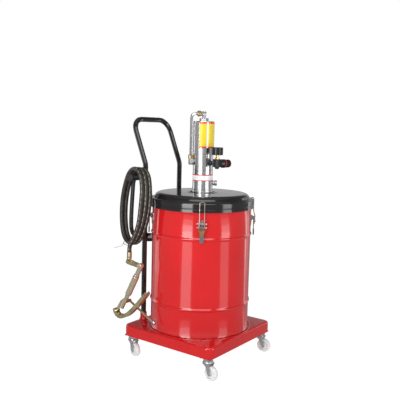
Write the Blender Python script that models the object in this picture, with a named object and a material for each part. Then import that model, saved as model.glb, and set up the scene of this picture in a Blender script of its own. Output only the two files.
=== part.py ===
"""Air-operated oil pump on a castered drum trolley.

Frame: metres, +Z up, the floor at Z = 0. The trolley, drum and pump stand on a
vertical axis through AXIS; the push handle is on the +Y side.
"""
from math import acos, asin, atan2, cos, pi, radians, sin, sqrt

import bmesh
import bpy
from mathutils import Matrix, Vector

# ---------------------------------------------------------------- driving sizes
GAP = 0.0003                     # clearance between touching pieces
AXIS = Vector((0.0037, -0.0274, 0.0))    # drum axis on the floor, from the part's origin

DECK_SIDE = 0.384
DECK_CORNER = 0.026
DECK_TOP = 0.115
DECK_BOTTOM = 0.0772
DECK_SHEET = 0.002
DECK_SHIFT_Y = 0.003             # deck centre behind the drum axis
GUSSET_LEG = 0.078
GUSSET_SHEET = 0.0025
BEAD_RADIUS = 0.1835             # raised ring that keeps the drum in place
BEAD_HALF = 0.003

CASTER_PITCH = 0.166             # caster stem from the deck's centre, along X and Y
CASTER_TRAIL = 0.014             # axle behind the stem
CASTER_CROWN = 0.0570            # underside of the fork's crown
FORK_HALF = 0.0115               # a fork leg from the wheel's middle
FORK_SHEET = 0.0025
WHEEL_RADIUS = 0.025
WHEEL_WIDTH = 0.016
CASTER_ANGLES = {"front_left": -103.5, "front_right": -93.5, "rear_right": -77.5, "rear_left": -95.0}

DRUM_RADIUS = 0.175
DRUM_WALL = 0.0016
DRUM_BOTTOM = DECK_TOP + GAP
DRUM_TOP = 0.5655
HOOP_HEIGHTS = (0.2128, 0.4515)
HOOP_RISE = 0.0035
HOOP_HALF = 0.0065

LID_RADIUS = 0.182
LID_BOTTOM = 0.5424
LID_RIM = 0.5735
LID_PLATEAU = 0.5923
LID_PLATEAU_RADIUS = 0.1563
LID_SHEET = 0.0016
LID_HOLE = 0.0225

LATCH_ANGLES = {"front": -143.3, "right": -53.3, "back": 36.7, "left": 126.7}
LATCH_PIVOT = 0.5065             # the lever turns on its bracket here
LATCH_PIN = 0.4945               # the bail turns in the lever here
LATCH_STANDOFF = 0.0105          # the pivot outside the drum's wall
LATCH_FOOT = 0.444
LEVER_SHEET = 0.0022
BAIL_WIRE = 0.0014
BAIL_HALF = 0.0082
BAIL_STANDOFF = 0.0042

PUMP_RADIUS = 0.0355
MOTOR_RADIUS = 0.0370
PUMP_JOINTS = (LID_PLATEAU, 0.6715, 0.7268, 0.8380)     # where the housings meet, base to cap
SUCTION_RADIUS = 0.0185
SUCTION_BORE = 0.0145
ROD_RADIUS = 0.006
PISTON_RADIUS = 0.0325
MOTOR_BORE = 0.0330
PISTON_STROKE = 0.055
TOP_NUT_TOP = 0.8510
TOP_ELBOW_TOP = 0.8755

HANDLE_HALF = 0.097
HANDLE_Y = 0.1825
HANDLE_TUBE = 0.0095
HANDLE_BEND_Z = 0.683
HANDLE_TOP = (0.2475, 0.843)     # Y and Z of the grip bar
HANDLE_CORNER = 0.046
SOCKET_TOP = 0.142
BRACE_Z = 0.4263

HANGER_Z = 0.6415
HANGER_ANGLE = 189.0
HANGER_RADIUS = 0.0125
HANGER_END = 0.102               # free end of the peg, from the handle's leg

HOSE_RADIUS = 0.0075
COIL_TOP = Vector((-0.157, 0.162, 0.6708))
COIL_FOOT = Vector((-0.1725, 0.1836, 0.4092))
COIL_ACROSS = Vector((0.329, 0.944, 0.0)).normalized()
COIL_HALF_WIDTH = 0.0776
COIL_END_RADIUS = 0.0605
COIL_PITCH = 0.0155
COIL_TURNS = 3

GUN_X = -0.198
GUN_HOSE_END = Vector((GUN_X, 0.1620, 0.3830))
GUN_ELBOW = Vector((GUN_X, 0.1625, 0.3480))
GUN_ARM_END = Vector((GUN_X, 0.1085, 0.3400))
GUN_HANDLE_FOOT = Vector((GUN_X, 0.1668, 0.2300))
GUN_STRAP_TOP = Vector((GUN_X, 0.1960, 0.2010))
GUN_PIVOT = Vector((GUN_X, 0.2200, 0.1620))
GUN_PORT = Vector((GUN_X, 0.1808, 0.2010))
NOZZLE_TIP = Vector((GUN_X + 0.009, 0.0480, 0.1470))
TRIGGER_HALF = 0.0095
TRIGGER_SHEET = 0.0015
PORT_REACH = 0.0260              # side port of the gun, from its middle
NOZZLE_PIPE = 0.1240

OUTLET_ANGLE = 46.0              # from the pump towards the live outlet
OUTLET_Z = 0.6250
OUTLET_REACH = 0.0290
PLUG_ANGLE = -53.6               # from the pump towards the plugged outlet
AIR_LINE_ANGLE = 146.0           # from the pump towards the air tube
AIR_TUBE_REACH = 0.0458
AIR_TUBE_RADIUS = 0.0052
AIR_TUBE_FOOT = 0.7240
AIR_INLET_Z = 0.6975

REG_ANGLE = -106.0               # from the pump towards the air regulator
REG_REACH = 0.078
REG_HALF = 0.0130
REG_Z = 0.697
REG_TOP = 0.7125
BONNET_END = 0.0320
KNOB_END = 0.0550
KNOB_RADIUS = 0.0138
KNOB_RIBS = 14
GAUGE_RADIUS = 0.0198
GAUGE_LOW = 0.7265
GAUGE_TOP = 0.7525
NEEDLE_ANGLE = -45.0

ROUND = 40                       # sides of a large turned piece
SMALL = 20                       # sides of a small turned piece


# ---------------------------------------------------------------- helpers
def clear_scene():
    for obj in list(bpy.data.objects):
        bpy.data.objects.remove(obj)


def material(name, colour, roughness, metallic):
    mat = bpy.data.materials.new(name)
    mat.use_nodes = True
    shader = mat.node_tree.nodes["Principled BSDF"]
    shader.inputs["Base Color"].default_value = (*colour, 1.0)
    shader.inputs["Roughness"].default_value = roughness
    shader.inputs["Metallic"].default_value = metallic
    return mat


def add_object(name, mesh, mat, parent, location=(0, 0, 0), rotation=None):
    obj = bpy.data.objects.new(name, mesh)
    bpy.context.collection.objects.link(obj)
    obj.parent = parent
    obj.location = location
    if rotation is not None:
        obj.rotation_euler = rotation.to_euler()
    mesh.materials.append(mat)
    return obj


def finish_mesh(name, bm, smooth_angle=35.0):
    bmesh.ops.remove_doubles(bm, verts=bm.verts, dist=1e-6)
    bmesh.ops.recalc_face_normals(bm, faces=bm.faces)
    mesh = bpy.data.meshes.new(name)
    bm.to_mesh(mesh)
    bm.free()
    mesh.shade_smooth()
    mesh.set_sharp_from_angle(angle=radians(smooth_angle))
    return mesh


def turned_mesh(name, profile, sides=SMALL):
    """Spin a closed outline of (radius, z) points about Z."""
    bm = bmesh.new()
    verts = [bm.verts.new((radius, 0.0, z)) for radius, z in profile]
    edges = [bm.edges.new((a, b)) for a, b in zip(verts, verts[1:])]
    if profile[0][0] > 1e-6 or profile[-1][0] > 1e-6:
        edges.append(bm.edges.new((verts[-1], verts[0])))
    bmesh.ops.spin(bm, geom=verts + edges, cent=(0, 0, 0), axis=(0, 0, 1), angle=2 * pi,
                   steps=sides, use_merge=True, use_normal_flip=False, use_duplicate=False)
    return finish_mesh(name, bm)


def prism_mesh(name, outline, z_low, z_high, bevel=0.0, segments=2):
    """Extrude a flat outline of (x, y) points from z_low to z_high."""
    bm = bmesh.new()
    face = bm.faces.new([bm.verts.new((x, y, z_low)) for x, y in outline])
    result = bmesh.ops.extrude_face_region(bm, geom=[face])
    moved = [v for v in result["geom"] if isinstance(v, bmesh.types.BMVert)]
    bmesh.ops.translate(bm, verts=moved, vec=(0, 0, z_high - z_low))
    if bevel > 0:
        bmesh.ops.bevel(bm, geom=list(bm.edges), offset=bevel, segments=segments,
                        affect="EDGES", profile=0.5, clamp_overlap=True)
    return finish_mesh(name, bm)


def rounded_outline(half, radius, steps=6):
    """A square of half side `half` with rounded corners, anticlockwise."""
    points = []
    inner = half - radius
    for quarter, (sx, sy) in enumerate(((1, 1), (-1, 1), (-1, -1), (1, -1))):
        for i in range(steps + 1):
            a = (quarter + i / steps) * pi / 2
            points.append((sx * inner + radius * cos(a), sy * inner + radius * sin(a)))
    return points


def smooth_points(route, spacing):
    """Points at an even spacing on a Catmull-Rom curve through the route."""
    ends = [2 * route[0] - route[1], *route, 2 * route[-1] - route[-2]]
    dense = []
    for p0, p1, p2, p3 in zip(ends, ends[1:], ends[2:], ends[3:]):
        for i in range(24):
            t = i / 24
            dense.append(0.5 * (2 * p1 + (p2 - p0) * t + (2 * p0 - 5 * p1 + 4 * p2 - p3) * t * t
                                + (3 * p1 - p0 - 3 * p2 + p3) * t * t * t))
    dense.append(route[-1].copy())
    total = sum((b - a).length for a, b in zip(dense, dense[1:]))
    count = max(2, round(total / spacing))
    points = [dense[0]]
    walked = 0.0
    for a, b in zip(dense, dense[1:]):
        step = (b - a).length
        while len(points) < count and walked + step >= len(points) * total / count:
            points.append(a.lerp(b, (len(points) * total / count - walked) / step))
        walked += step
    points.append(dense[-1])
    return points


def bent_points(corners, radius, steps=6):
    """Straight runs between corners, each corner rounded to the radius."""
    points = [corners[0]]
    for before, corner, after in zip(corners, corners[1:], corners[2:]):
        u = (before - corner).normalized()
        w = (after - corner).normalized()
        half = acos(max(-1.0, min(1.0, u.dot(w)))) / 2
        reach = radius / sin(half) * cos(half)
        centre = corner + (u + w).normalized() * (radius / sin(half))
        start = corner + u * reach - centre
        turn = pi - 2 * half
        axis = start.cross(corner + w * reach - centre).normalized()
        for i in range(steps + 1):
            points.append(centre + Matrix.Rotation(turn * i / steps, 3, axis) @ start)
    points.append(corners[-1])
    return points


def tube(name, points, radius, mat, parent, resolution=2):
    """A round tube along the points, with closed ends."""
    curve = bpy.data.curves.new(name, "CURVE")
    curve.dimensions = "3D"
    curve.bevel_depth = radius
    curve.bevel_resolution = resolution
    curve.use_fill_caps = True
    spline = curve.splines.new("POLY")
    spline.points.add(len(points) - 1)
    for slot, p in zip(spline.points, points):
        slot.co = (*p, 1.0)
    curve.materials.append(mat)
    obj = bpy.data.objects.new(name, curve)
    bpy.context.collection.objects.link(obj)
    obj.parent = parent
    return obj


def swept_mesh(name, points, radius, sides=8):
    """A round bar along the points, as a mesh, so that a Boolean can join it."""
    bm = bmesh.new()
    tangents = [(b - a).normalized() for a, b in zip(points, points[1:])]
    rings = []
    side = tangents[0].orthogonal().normalized()
    for i, point in enumerate(points):
        before = tangents[max(0, i - 1)]
        after = tangents[min(i, len(tangents) - 1)]
        tangent = (before + after).normalized()
        side = (side - tangent * side.dot(tangent)).normalized()
        other = tangent.cross(side)
        rings.append([bm.verts.new(point + radius * (cos(a) * side + sin(a) * other))
                      for a in [2 * pi * k / sides for k in range(sides)]])
    for low, high in zip(rings, rings[1:]):
        for k in range(sides):
            m = (k + 1) % sides
            bm.faces.new((low[k], low[m], high[m], high[k]))
    bm.faces.new(rings[0][::-1])
    bm.faces.new(rings[-1])
    return finish_mesh(name, bm)


def guide(name, mesh, parent, location=(0, 0, 0), rotation=None):
    """A cutter or a filler for a Boolean, left out of the part."""
    obj = bpy.data.objects.new(name, mesh)
    bpy.context.collection.objects.link(obj)
    obj.parent = parent
    obj.location = location
    if rotation is not None:
        obj.rotation_euler = rotation.to_euler()
    obj.hide_render = True
    obj.display_type = "WIRE"
    return obj


def combine(obj, other, operation):
    mod = obj.modifiers.new(operation.title(), "BOOLEAN")
    mod.operation = operation
    mod.solver = "EXACT"
    mod.object = other


def along(direction):
    """Rotation that takes +Z to the direction."""
    return Vector(direction).to_track_quat("Z", "Y")


def turned(name, profile, mat, parent, location=(0, 0, 0), direction=None, sides=SMALL):
    rotation = None if direction is None else along(direction)
    return add_object(name, turned_mesh(name, profile, sides), mat, parent, location, rotation)


def empty(name, parent, location, angle=0.0):
    obj = bpy.data.objects.new(name, None)
    bpy.context.collection.objects.link(obj)
    obj.parent = parent
    obj.location = location
    obj.rotation_euler = (0, 0, radians(angle))
    return obj


def upright_plane():
    """Stands a prism up: its X runs along +Y, its Y up +Z and its thickness along +X."""
    return Matrix(((0, 0, 1, 0), (1, 0, 0, 0), (0, 1, 0, 0), (0, 0, 0, 1)))


def polar(radius, degrees_, z):
    return Vector((radius * cos(radians(degrees_)), radius * sin(radians(degrees_)), z))


# ---------------------------------------------------------------- trolley
def make_deck(root, paint):
    half = DECK_SIDE / 2
    centre = (0.0, DECK_SHIFT_Y, 0.0)
    shell = prism_mesh("trolley_deck", rounded_outline(half, DECK_CORNER), DECK_BOTTOM, DECK_TOP)
    deck = add_object("trolley_deck", shell, paint, root, centre)
    hollow_outline = rounded_outline(half - DECK_SHEET, DECK_CORNER - DECK_SHEET)
    hollow = prism_mesh("deck_hollow", hollow_outline, DECK_BOTTOM - 0.01, DECK_TOP - DECK_SHEET)
    combine(deck, guide("deck_hollow", hollow, root, centre), "DIFFERENCE")
    for sx in (-1, 1):
        for sy in (-1, 1):
            name = f"deck_gusset_{'r' if sx > 0 else 'l'}{'b' if sy > 0 else 'f'}"
            edge = half - DECK_SHEET / 2
            outline = [(sx * x, sy * y) for x, y in gusset_outline(edge)]
            mesh = prism_mesh(name, outline, DECK_BOTTOM, DECK_BOTTOM + GUSSET_SHEET)
            combine(deck, guide(name, mesh, root, centre), "UNION")
    bead = [(BEAD_RADIUS + BEAD_HALF * cos(i * pi / 3), DECK_TOP - 0.0004 + BEAD_HALF * sin(i * pi / 3))
            for i in range(6)]
    combine(deck, guide("deck_bead", turned_mesh("deck_bead", bead, 48), root), "UNION")
    for sx in (-1, 1):
        socket = [(HANDLE_TUBE + GAP, DECK_TOP - 0.001), (0.0150, DECK_TOP - 0.001),
                  (0.0150, DECK_TOP + 0.003),
                  (0.0120, DECK_TOP + 0.004), (0.0120, SOCKET_TOP), (HANDLE_TUBE + GAP, SOCKET_TOP)]
        name = f"handle_socket_{'r' if sx > 0 else 'l'}"
        place = (sx * HANDLE_HALF, HANDLE_Y, 0.0)
        combine(deck, guide(name, turned_mesh(name, socket, SMALL), root, place), "UNION")


def gusset_outline(edge):
    """One corner plate: the rounded corner and two legs along the skirt."""
    radius = DECK_CORNER - DECK_SHEET / 2
    arc = [(edge - radius + radius * cos(a), edge - radius + radius * sin(a))
           for a in [i * pi / 12 for i in range(7)]]
    return [(edge, edge - GUSSET_LEG), *arc, (edge - GUSSET_LEG, edge)]


def make_caster(side, x, y, root, steel, nylon):
    """A swivel fork with its axle, and the wheel that turns on it."""
    stem = empty(f"caster_axis_{side}", root, (x, y, 0.0), CASTER_ANGLES[side])
    crown = CASTER_CROWN
    top = DECK_BOTTOM - GAP
    bearing = [(0.0, crown), (0.0185, crown), (0.0185, 0.0605), (0.0160, 0.0640), (0.0160, 0.0725),
               (0.0200, 0.0735), (0.0200, top), (0.0, top)]
    fork = turned(f"caster_fork_{side}", bearing, steel, stem)
    trail = CASTER_TRAIL
    leg_outline = [(-0.0135, crown + 0.002), (0.0165, crown + 0.002), (0.0165, 0.0545), (0.0118, 0.0480),
                   (trail + 0.0058, WHEEL_RADIUS), (trail + 0.0035, 0.0188), (trail - 0.0035, 0.0188),
                   (trail - 0.0058, WHEEL_RADIUS), (-0.0020, 0.0480), (-0.0135, 0.0545)]
    upright = Matrix.Rotation(pi / 2, 4, "X")
    for sign in (-1, 1):
        name = f"fork_leg_{side}_{'a' if sign > 0 else 'b'}"
        mesh = prism_mesh(name, leg_outline, -FORK_SHEET / 2, FORK_SHEET / 2)
        combine(fork, guide(name, mesh, stem, (0, sign * FORK_HALF, 0), upright), "UNION")
    width = FORK_HALF + FORK_SHEET / 2
    bridge = [(-0.0135, -width), (0.0165, -width), (0.0165, width), (-0.0135, width)]
    name = f"fork_bridge_{side}"
    combine(fork, guide(name, prism_mesh(name, bridge, crown - 0.001, crown + 0.0018), stem), "UNION")

    pin_half = [(0.0032, width - 0.001), (0.0045, width - 0.001), (0.0045, width + 0.0025),
                (0.0, width + 0.0025)]
    pin = [(radius, -z) for radius, z in reversed(pin_half)] + pin_half
    axle = empty(f"caster_axle_{side}", stem, (trail, 0.0, WHEEL_RADIUS))
    name = f"fork_axle_{side}"
    combine(fork, guide(name, turned_mesh(name, pin, 12), axle, (0, 0, 0), along((0, 1, 0))), "UNION")

    half = WHEEL_WIDTH / 2
    wheel = [(0.0035, -half - 0.0008), (0.0075, -half - 0.0008), (0.0080, -half + 0.0025),
             (0.0155, -half + 0.0025), (0.0168, -half), (0.0205, -half),
             (0.0232, -half + 0.0013), (WHEEL_RADIUS, -half + 0.0048)]
    profile = wheel + [(radius, -z) for radius, z in reversed(wheel)]
    turned(f"caster_wheel_{side}", profile, nylon, axle, direction=(0, 1, 0), sides=24)


# ---------------------------------------------------------------- drum and lid
def make_drum(root, paint):
    outer = DRUM_RADIUS
    inner = outer - DRUM_WALL
    side = [(outer + 0.0018, DRUM_BOTTOM), (outer + 0.0018, DRUM_BOTTOM + 0.0065),
            (outer, DRUM_BOTTOM + 0.010)]
    for z in HOOP_HEIGHTS:
        side += [(outer, z - HOOP_HALF), (outer + HOOP_RISE, z), (outer, z + HOOP_HALF)]
    side += [(outer, DRUM_TOP - 0.009), (outer + 0.0022, DRUM_TOP - 0.006), (outer + 0.0022, DRUM_TOP),
             (outer - 0.0035, DRUM_TOP), (inner, DRUM_TOP - 0.006)]
    for z in reversed(HOOP_HEIGHTS):
        side += [(inner, z + HOOP_HALF), (inner + HOOP_RISE, z), (inner, z - HOOP_HALF)]
    floor = DRUM_BOTTOM + 0.008
    side += [(inner, floor + DRUM_WALL), (0.0, floor + DRUM_WALL), (0.0, floor), (inner - 0.004, floor),
             (inner - 0.004, DRUM_BOTTOM)]
    drum = turned("drum_shell", side, paint, root, sides=48)
    turn = Matrix.Rotation(pi / 2, 4, "X")
    for name, angle in LATCH_ANGLES.items():
        frame = empty(f"latch_axis_{name}", root, (0, 0, 0), angle)
        mesh = prism_mesh("latch_bracket", bracket_outline(), -0.0050, 0.0050)
        combine(drum, guide(f"latch_bracket_{name}", mesh, frame, (0, 0, 0), turn), "UNION")
        bore = turned_mesh("latch_bore", [(0.0, -0.02), (0.0021, -0.02), (0.0021, 0.02), (0.0, 0.02)], 10)
        place = (DRUM_RADIUS + LATCH_STANDOFF, 0, LATCH_PIVOT)
        combine(drum, guide(f"latch_bore_{name}", bore, frame, place, along((0, 1, 0))), "DIFFERENCE")


def bracket_outline():
    """The drum side of one toggle, from the side: a foot on the wall and a knuckle."""
    wall = DRUM_RADIUS - 0.0006
    out = DRUM_RADIUS + LATCH_STANDOFF
    return [(wall, LATCH_PIVOT - 0.030), (wall + 0.0030, LATCH_PIVOT - 0.030),
            (wall + 0.0030, LATCH_PIVOT - 0.010), (out + 0.0010, LATCH_PIVOT - 0.0042),
            (out + 0.0038, LATCH_PIVOT), (out + 0.0010, LATCH_PIVOT + 0.0040), (wall, LATCH_PIVOT + 0.0090)]


def make_lid(root, paint, rubber):
    r, t = LID_RADIUS, LID_SHEET
    top = [(LID_HOLE, LID_PLATEAU), (LID_PLATEAU_RADIUS - 0.006, LID_PLATEAU),
           (LID_PLATEAU_RADIUS, LID_PLATEAU - 0.0016), (r - 0.009, LID_RIM + 0.0015), (r - 0.003, LID_RIM),
           (r - 0.001, LID_RIM - 0.002), (r - 0.001, 0.5535), (r, 0.5525), (r, LID_BOTTOM)]
    under = [(r - t, LID_BOTTOM), (r - t, 0.5525), (r - t - 0.001, 0.5535),
             (r - t - 0.001, LID_RIM - t - 0.001),
             (r - 0.009, LID_RIM - t), (LID_PLATEAU_RADIUS - 0.001, LID_PLATEAU - t - 0.0016),
             (LID_PLATEAU_RADIUS - 0.006, LID_PLATEAU - t), (LID_HOLE, LID_PLATEAU - t)]
    turned("drum_lid", top + under, paint, root, sides=48)
    low, high = DRUM_TOP + GAP, LID_RIM - t - GAP
    ring = [(0.1705, low), (0.1790, low), (0.1790, high - 0.0012), (0.1725, high), (0.1705, high)]
    turned("lid_gasket", ring, rubber, root, sides=48)


def make_latch(side, root, steel):
    """The moving half of one toggle: its lever and the wire bail over the lid's rim."""
    frame = empty(f"lever_axis_{side}", root, (0, 0, 0), LATCH_ANGLES[side])
    out = DRUM_RADIUS + LATCH_STANDOFF
    pivot = empty(f"latch_pivot_{side}", frame, (out, 0, LATCH_PIVOT))
    foot = LATCH_FOOT - LATCH_PIVOT
    half = [(0.0078, 0.0030), (0.0119, 0.0030), (0.0119, -0.0320), (0.0064, -0.0400), (0.0064, foot)]
    outline = half + [(-y, z) for y, z in reversed(half)] + [(-0.0078, -0.0250), (0.0078, -0.0250)]
    lever_mesh = prism_mesh("latch_lever", outline, -LEVER_SHEET / 2, LEVER_SHEET / 2)
    lever = add_object(f"latch_lever_{side}", lever_mesh, steel, pivot, (0, 0, 0), upright_plane())
    pin = turned_mesh("latch_pin", [(0.0, -0.0165), (0.0018, -0.0165), (0.0018, 0.0165), (0.0, 0.0165)], 10)
    combine(lever, guide(f"latch_pin_{side}", pin, pivot, (0, 0, 0), along((0, 1, 0))), "UNION")

    hinge = empty(f"bail_axis_{side}", pivot, (BAIL_STANDOFF, 0, LATCH_PIN - LATCH_PIVOT))
    top = LID_RIM + 0.0016 + BAIL_WIRE - LATCH_PIN
    hook_in = LID_RADIUS - 0.0060 - out - BAIL_STANDOFF
    clear = LID_RADIUS + 0.0006 + BAIL_WIRE - out - BAIL_STANDOFF
    y = BAIL_HALF
    rising = [Vector((0, -y, 0)), Vector((0, -y, 0.0160)), Vector((clear, -y, 0.0380)),
              Vector((clear, -y, top))]
    over = [Vector((hook_in, -y * 0.55, top)), Vector((hook_in, y * 0.55, top))]
    falling = [Vector((p.x, -p.y, p.z)) for p in reversed(rising)]
    route = bent_points(rising + over + falling, 0.0026, 2)
    bail = add_object(f"latch_bail_{side}", swept_mesh("latch_bail", route, BAIL_WIRE), steel, hinge)
    roller_outline = [(0.0, -0.0098), (0.0019, -0.0098), (0.0019, 0.0098), (0.0, 0.0098)]
    roller = turned_mesh("bail_roller", roller_outline, 10)
    combine(bail, guide(f"bail_roller_{side}", roller, hinge, (0, 0, 0), along((0, 1, 0))), "UNION")


# ---------------------------------------------------------------- pump
def make_pump(root, chrome):
    """The stacked housings on the lid, from the base up to the motor's cap."""
    base, mid, motor, crown = PUMP_JOINTS
    r = PUMP_RADIUS
    bore = ROD_RADIUS + 0.0006
    head = [(bore, base + GAP), (r + 0.0015, base + GAP), (r + 0.0015, base + 0.0100), (r, base + 0.0112),
            (r, mid - GAP), (bore, mid - GAP)]
    turned("pump_head", head, chrome, root, sides=ROUND)
    valve = [(bore, mid), (r, mid), (r, motor - GAP), (bore, motor - GAP)]
    turned("valve_housing", valve, chrome, root, sides=ROUND)
    cylinder = [(MOTOR_BORE, motor), (MOTOR_RADIUS, motor), (MOTOR_RADIUS, crown - GAP),
                (MOTOR_BORE, crown - GAP)]
    turned("motor_cylinder", cylinder, chrome, root, sides=ROUND)
    cap = [(0.0, crown), (MOTOR_RADIUS, crown), (MOTOR_RADIUS - 0.0008, crown + 0.0022),
           (0.0165, crown + 0.0026), (0.0, crown + 0.0026)]
    turned("motor_cap", cap, chrome, root, sides=ROUND)


def make_suction(root, steel):
    """Inside the drum: the lid nut, the suction tube with its foot valve, and the piston rod."""
    under_lid = LID_PLATEAU - LID_SHEET - GAP
    thread = (SUCTION_RADIUS + GAP) / cos(pi / 6)
    nut = [(thread, under_lid - 0.012), (0.032, under_lid - 0.012), (0.032, under_lid), (thread, under_lid)]
    turned("lid_nut", nut, steel, root, sides=6)
    foot = DRUM_BOTTOM + 0.022
    tube_foot = foot + 0.022
    suction = [(SUCTION_BORE, tube_foot), (SUCTION_RADIUS, tube_foot), (SUCTION_RADIUS, LID_PLATEAU),
               (SUCTION_BORE, LID_PLATEAU)]
    turned("suction_tube", suction, steel, root)
    strainer = [(0.0, foot), (0.0205, foot), (0.0215, foot + 0.002), (0.0215, tube_foot - GAP),
                (0.0100, tube_foot - GAP), (0.0100, foot + 0.006), (0.0, foot + 0.006)]
    turned("foot_strainer", strainer, steel, root)
    ball_profile = [(0.008 * sin(a), -0.008 * cos(a)) for a in [i * pi / 8 for i in range(9)]]
    turned("foot_valve_ball", ball_profile, steel, root, (0, 0, foot + 0.0145), sides=16)

    piston_z = PUMP_JOINTS[3] - 0.022
    rod_foot = tube_foot + PISTON_STROKE + 0.010
    plunger = SUCTION_BORE - 0.0004
    drive = [(0.0, rod_foot), (plunger, rod_foot), (plunger, rod_foot + 0.020),
             (ROD_RADIUS, rod_foot + 0.020), (ROD_RADIUS, piston_z), (PISTON_RADIUS, piston_z),
             (PISTON_RADIUS, piston_z + 0.012), (0.0, piston_z + 0.012)]
    turned("piston_rod", drive, steel, root)


def make_outlets(root, chrome, steel):
    """The plugged side outlet, and the live outlet with its hose union at the back."""
    plug = [(0.0, 0.0), (0.0085, 0.0), (0.0085, 0.0045), (0.0072, 0.0055), (0.0095, 0.0065),
            (0.0095, 0.0135), (0.0085, 0.0150), (0.0, 0.0150)]
    union = [(0.0, 0.0), (0.0090, 0.0), (0.0090, 0.0100), (0.0110, 0.0105), (0.0110, 0.0210),
             (0.0085, 0.0215), (0.0085, OUTLET_REACH), (0.0, OUTLET_REACH)]
    for name, angle, profile, mat in (("outlet_plug", PLUG_ANGLE, plug, chrome),
                                      ("outlet_union", OUTLET_ANGLE, union, steel)):
        direction = polar(1, angle, 0)
        place = direction * (PUMP_RADIUS + GAP) + Vector((0, 0, OUTLET_Z))
        turned(name, profile, mat, root, place, direction, sides=12)


def make_air_line(root, chrome, steel, brass):
    """Top nut and elbow, the bent air tube, and its lower fittings."""
    crown = PUMP_JOINTS[3] + 0.0026 + GAP
    nut = [(0.0, crown), (0.0162, crown), (0.0162, TOP_NUT_TOP - 0.001), (0.0150, TOP_NUT_TOP),
           (0.0, TOP_NUT_TOP)]
    turned("top_nut", nut, steel, root, sides=6)
    side = polar(1, AIR_LINE_ANGLE, 0)
    z = TOP_ELBOW_TOP - 0.0090
    elbow = turned("top_elbow", [(0.0, TOP_NUT_TOP + GAP), (0.0072, TOP_NUT_TOP + GAP), (0.0072, z),
                                 (0.0050, z + 0.0075), (0.0, z + 0.0090)], chrome, root, sides=16)
    arm = turned_mesh("elbow_arm", [(0.0, -0.006), (0.0078, -0.006), (0.0078, 0.0130), (0.0, 0.0130)], 16)
    combine(elbow, guide("elbow_arm", arm, root, (0, 0, z), along(side)), "UNION")
    nut_profile = [(0.0, 0.0), (0.0092, 0.0), (0.0100, 0.0012), (0.0100, 0.0090), (0.0075, 0.0120),
                   (0.0, 0.0120)]
    turned("tube_nut_upper", nut_profile, brass, root, side * 0.0133 + Vector((0, 0, z)), side, sides=12)
    reach = AIR_TUBE_REACH
    low = AIR_TUBE_FOOT
    start = side * (0.0133 + 0.0120 + GAP) + Vector((0, 0, z))
    corner = side * reach + Vector((0, 0, z))
    end = side * reach + Vector((0, 0, low))
    tube("air_tube", bent_points([start, corner, end], 0.0150, 6), AIR_TUBE_RADIUS, chrome, root, 3)
    turned("tube_nut_lower", [(0.0, 0.0), (0.0075, 0.0), (0.0095, 0.0025), (0.0095, 0.0130), (0.0, 0.0130)],
           brass, root, side * reach + Vector((0, 0, low - GAP)), (0, 0, -1), sides=12)
    body_z = AIR_INLET_Z
    top = low - 0.0130 - 2 * GAP
    inlet = [(0.0, body_z - 0.0090), (0.0070, body_z - 0.0085), (0.0082, body_z - 0.0040), (0.0082, top),
             (0.0, top)]
    body = turned("air_inlet_elbow", inlet, steel, root, side * reach, sides=16)
    stub_end = reach - PUMP_RADIUS - GAP
    stub = turned_mesh("inlet_stub", [(0.0, 0.0), (0.0072, 0.0), (0.0072, stub_end), (0.0, stub_end)], 16)
    stub_place = side * reach + Vector((0, 0, body_z))
    combine(body, guide("inlet_stub", stub, root, stub_place, along(-side)), "UNION")


def make_regulator(root, black):
    """The air regulator on its nipple, with its drain, its side bonnet and its knob."""
    out = polar(1, REG_ANGLE, 0)
    tangent = polar(1, REG_ANGLE + 90, 0)
    centre = out * REG_REACH
    frame = empty("regulator_axis", root, centre, REG_ANGLE)
    body_mesh = prism_mesh("regulator_body", rounded_outline(REG_HALF, 0.004, 3), REG_Z - 0.0115, REG_TOP)
    body = add_object("regulator_body", body_mesh, black, frame)
    reach = REG_REACH - REG_HALF - PUMP_RADIUS
    nipple = turned_mesh("regulator_nipple", [(0.0, 0.0), (0.0070, 0.0), (0.0070, reach + 0.002),
                                              (0.0, reach + 0.002)], 12)
    start = out * (PUMP_RADIUS + GAP) + Vector((0, 0, REG_Z))
    combine(body, guide("regulator_nipple", nipple, root, start, along(out)), "UNION")
    drain = turned_mesh("drain_valve", [(0.0, 0.6785), (0.0060, 0.6785), (0.0070, 0.6795), (0.0070, REG_Z),
                                        (0.0, REG_Z)], 12)
    combine(body, guide("drain_valve", drain, frame), "UNION")
    centre_z = centre + Vector((0, 0, REG_Z))
    bonnet_outline = [(0.0, 0.0), (0.0115, 0.0), (0.0125, REG_HALF + 0.002), (0.0150, REG_HALF + 0.010),
                      (0.0150, BONNET_END), (0.0, BONNET_END)]
    bonnet = turned_mesh("regulator_bonnet", bonnet_outline, 24)
    combine(body, guide("regulator_bonnet", bonnet, root, centre_z, along(tangent)), "UNION")
    outline = []
    for i in range(KNOB_RIBS * 4):
        radius = KNOB_RADIUS if i % 4 in (0, 1) else KNOB_RADIUS - 0.0008
        a = 2 * pi * i / (KNOB_RIBS * 4)
        outline.append((radius * cos(a), radius * sin(a)))
    knob = prism_mesh("regulator_knob", outline, BONNET_END + 2 * GAP, KNOB_END)
    knob_axis = empty("knob_axis", root, centre_z)
    add_object("regulator_knob", knob, black, knob_axis, (0, 0, 0), along(tangent))
    return frame


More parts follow.
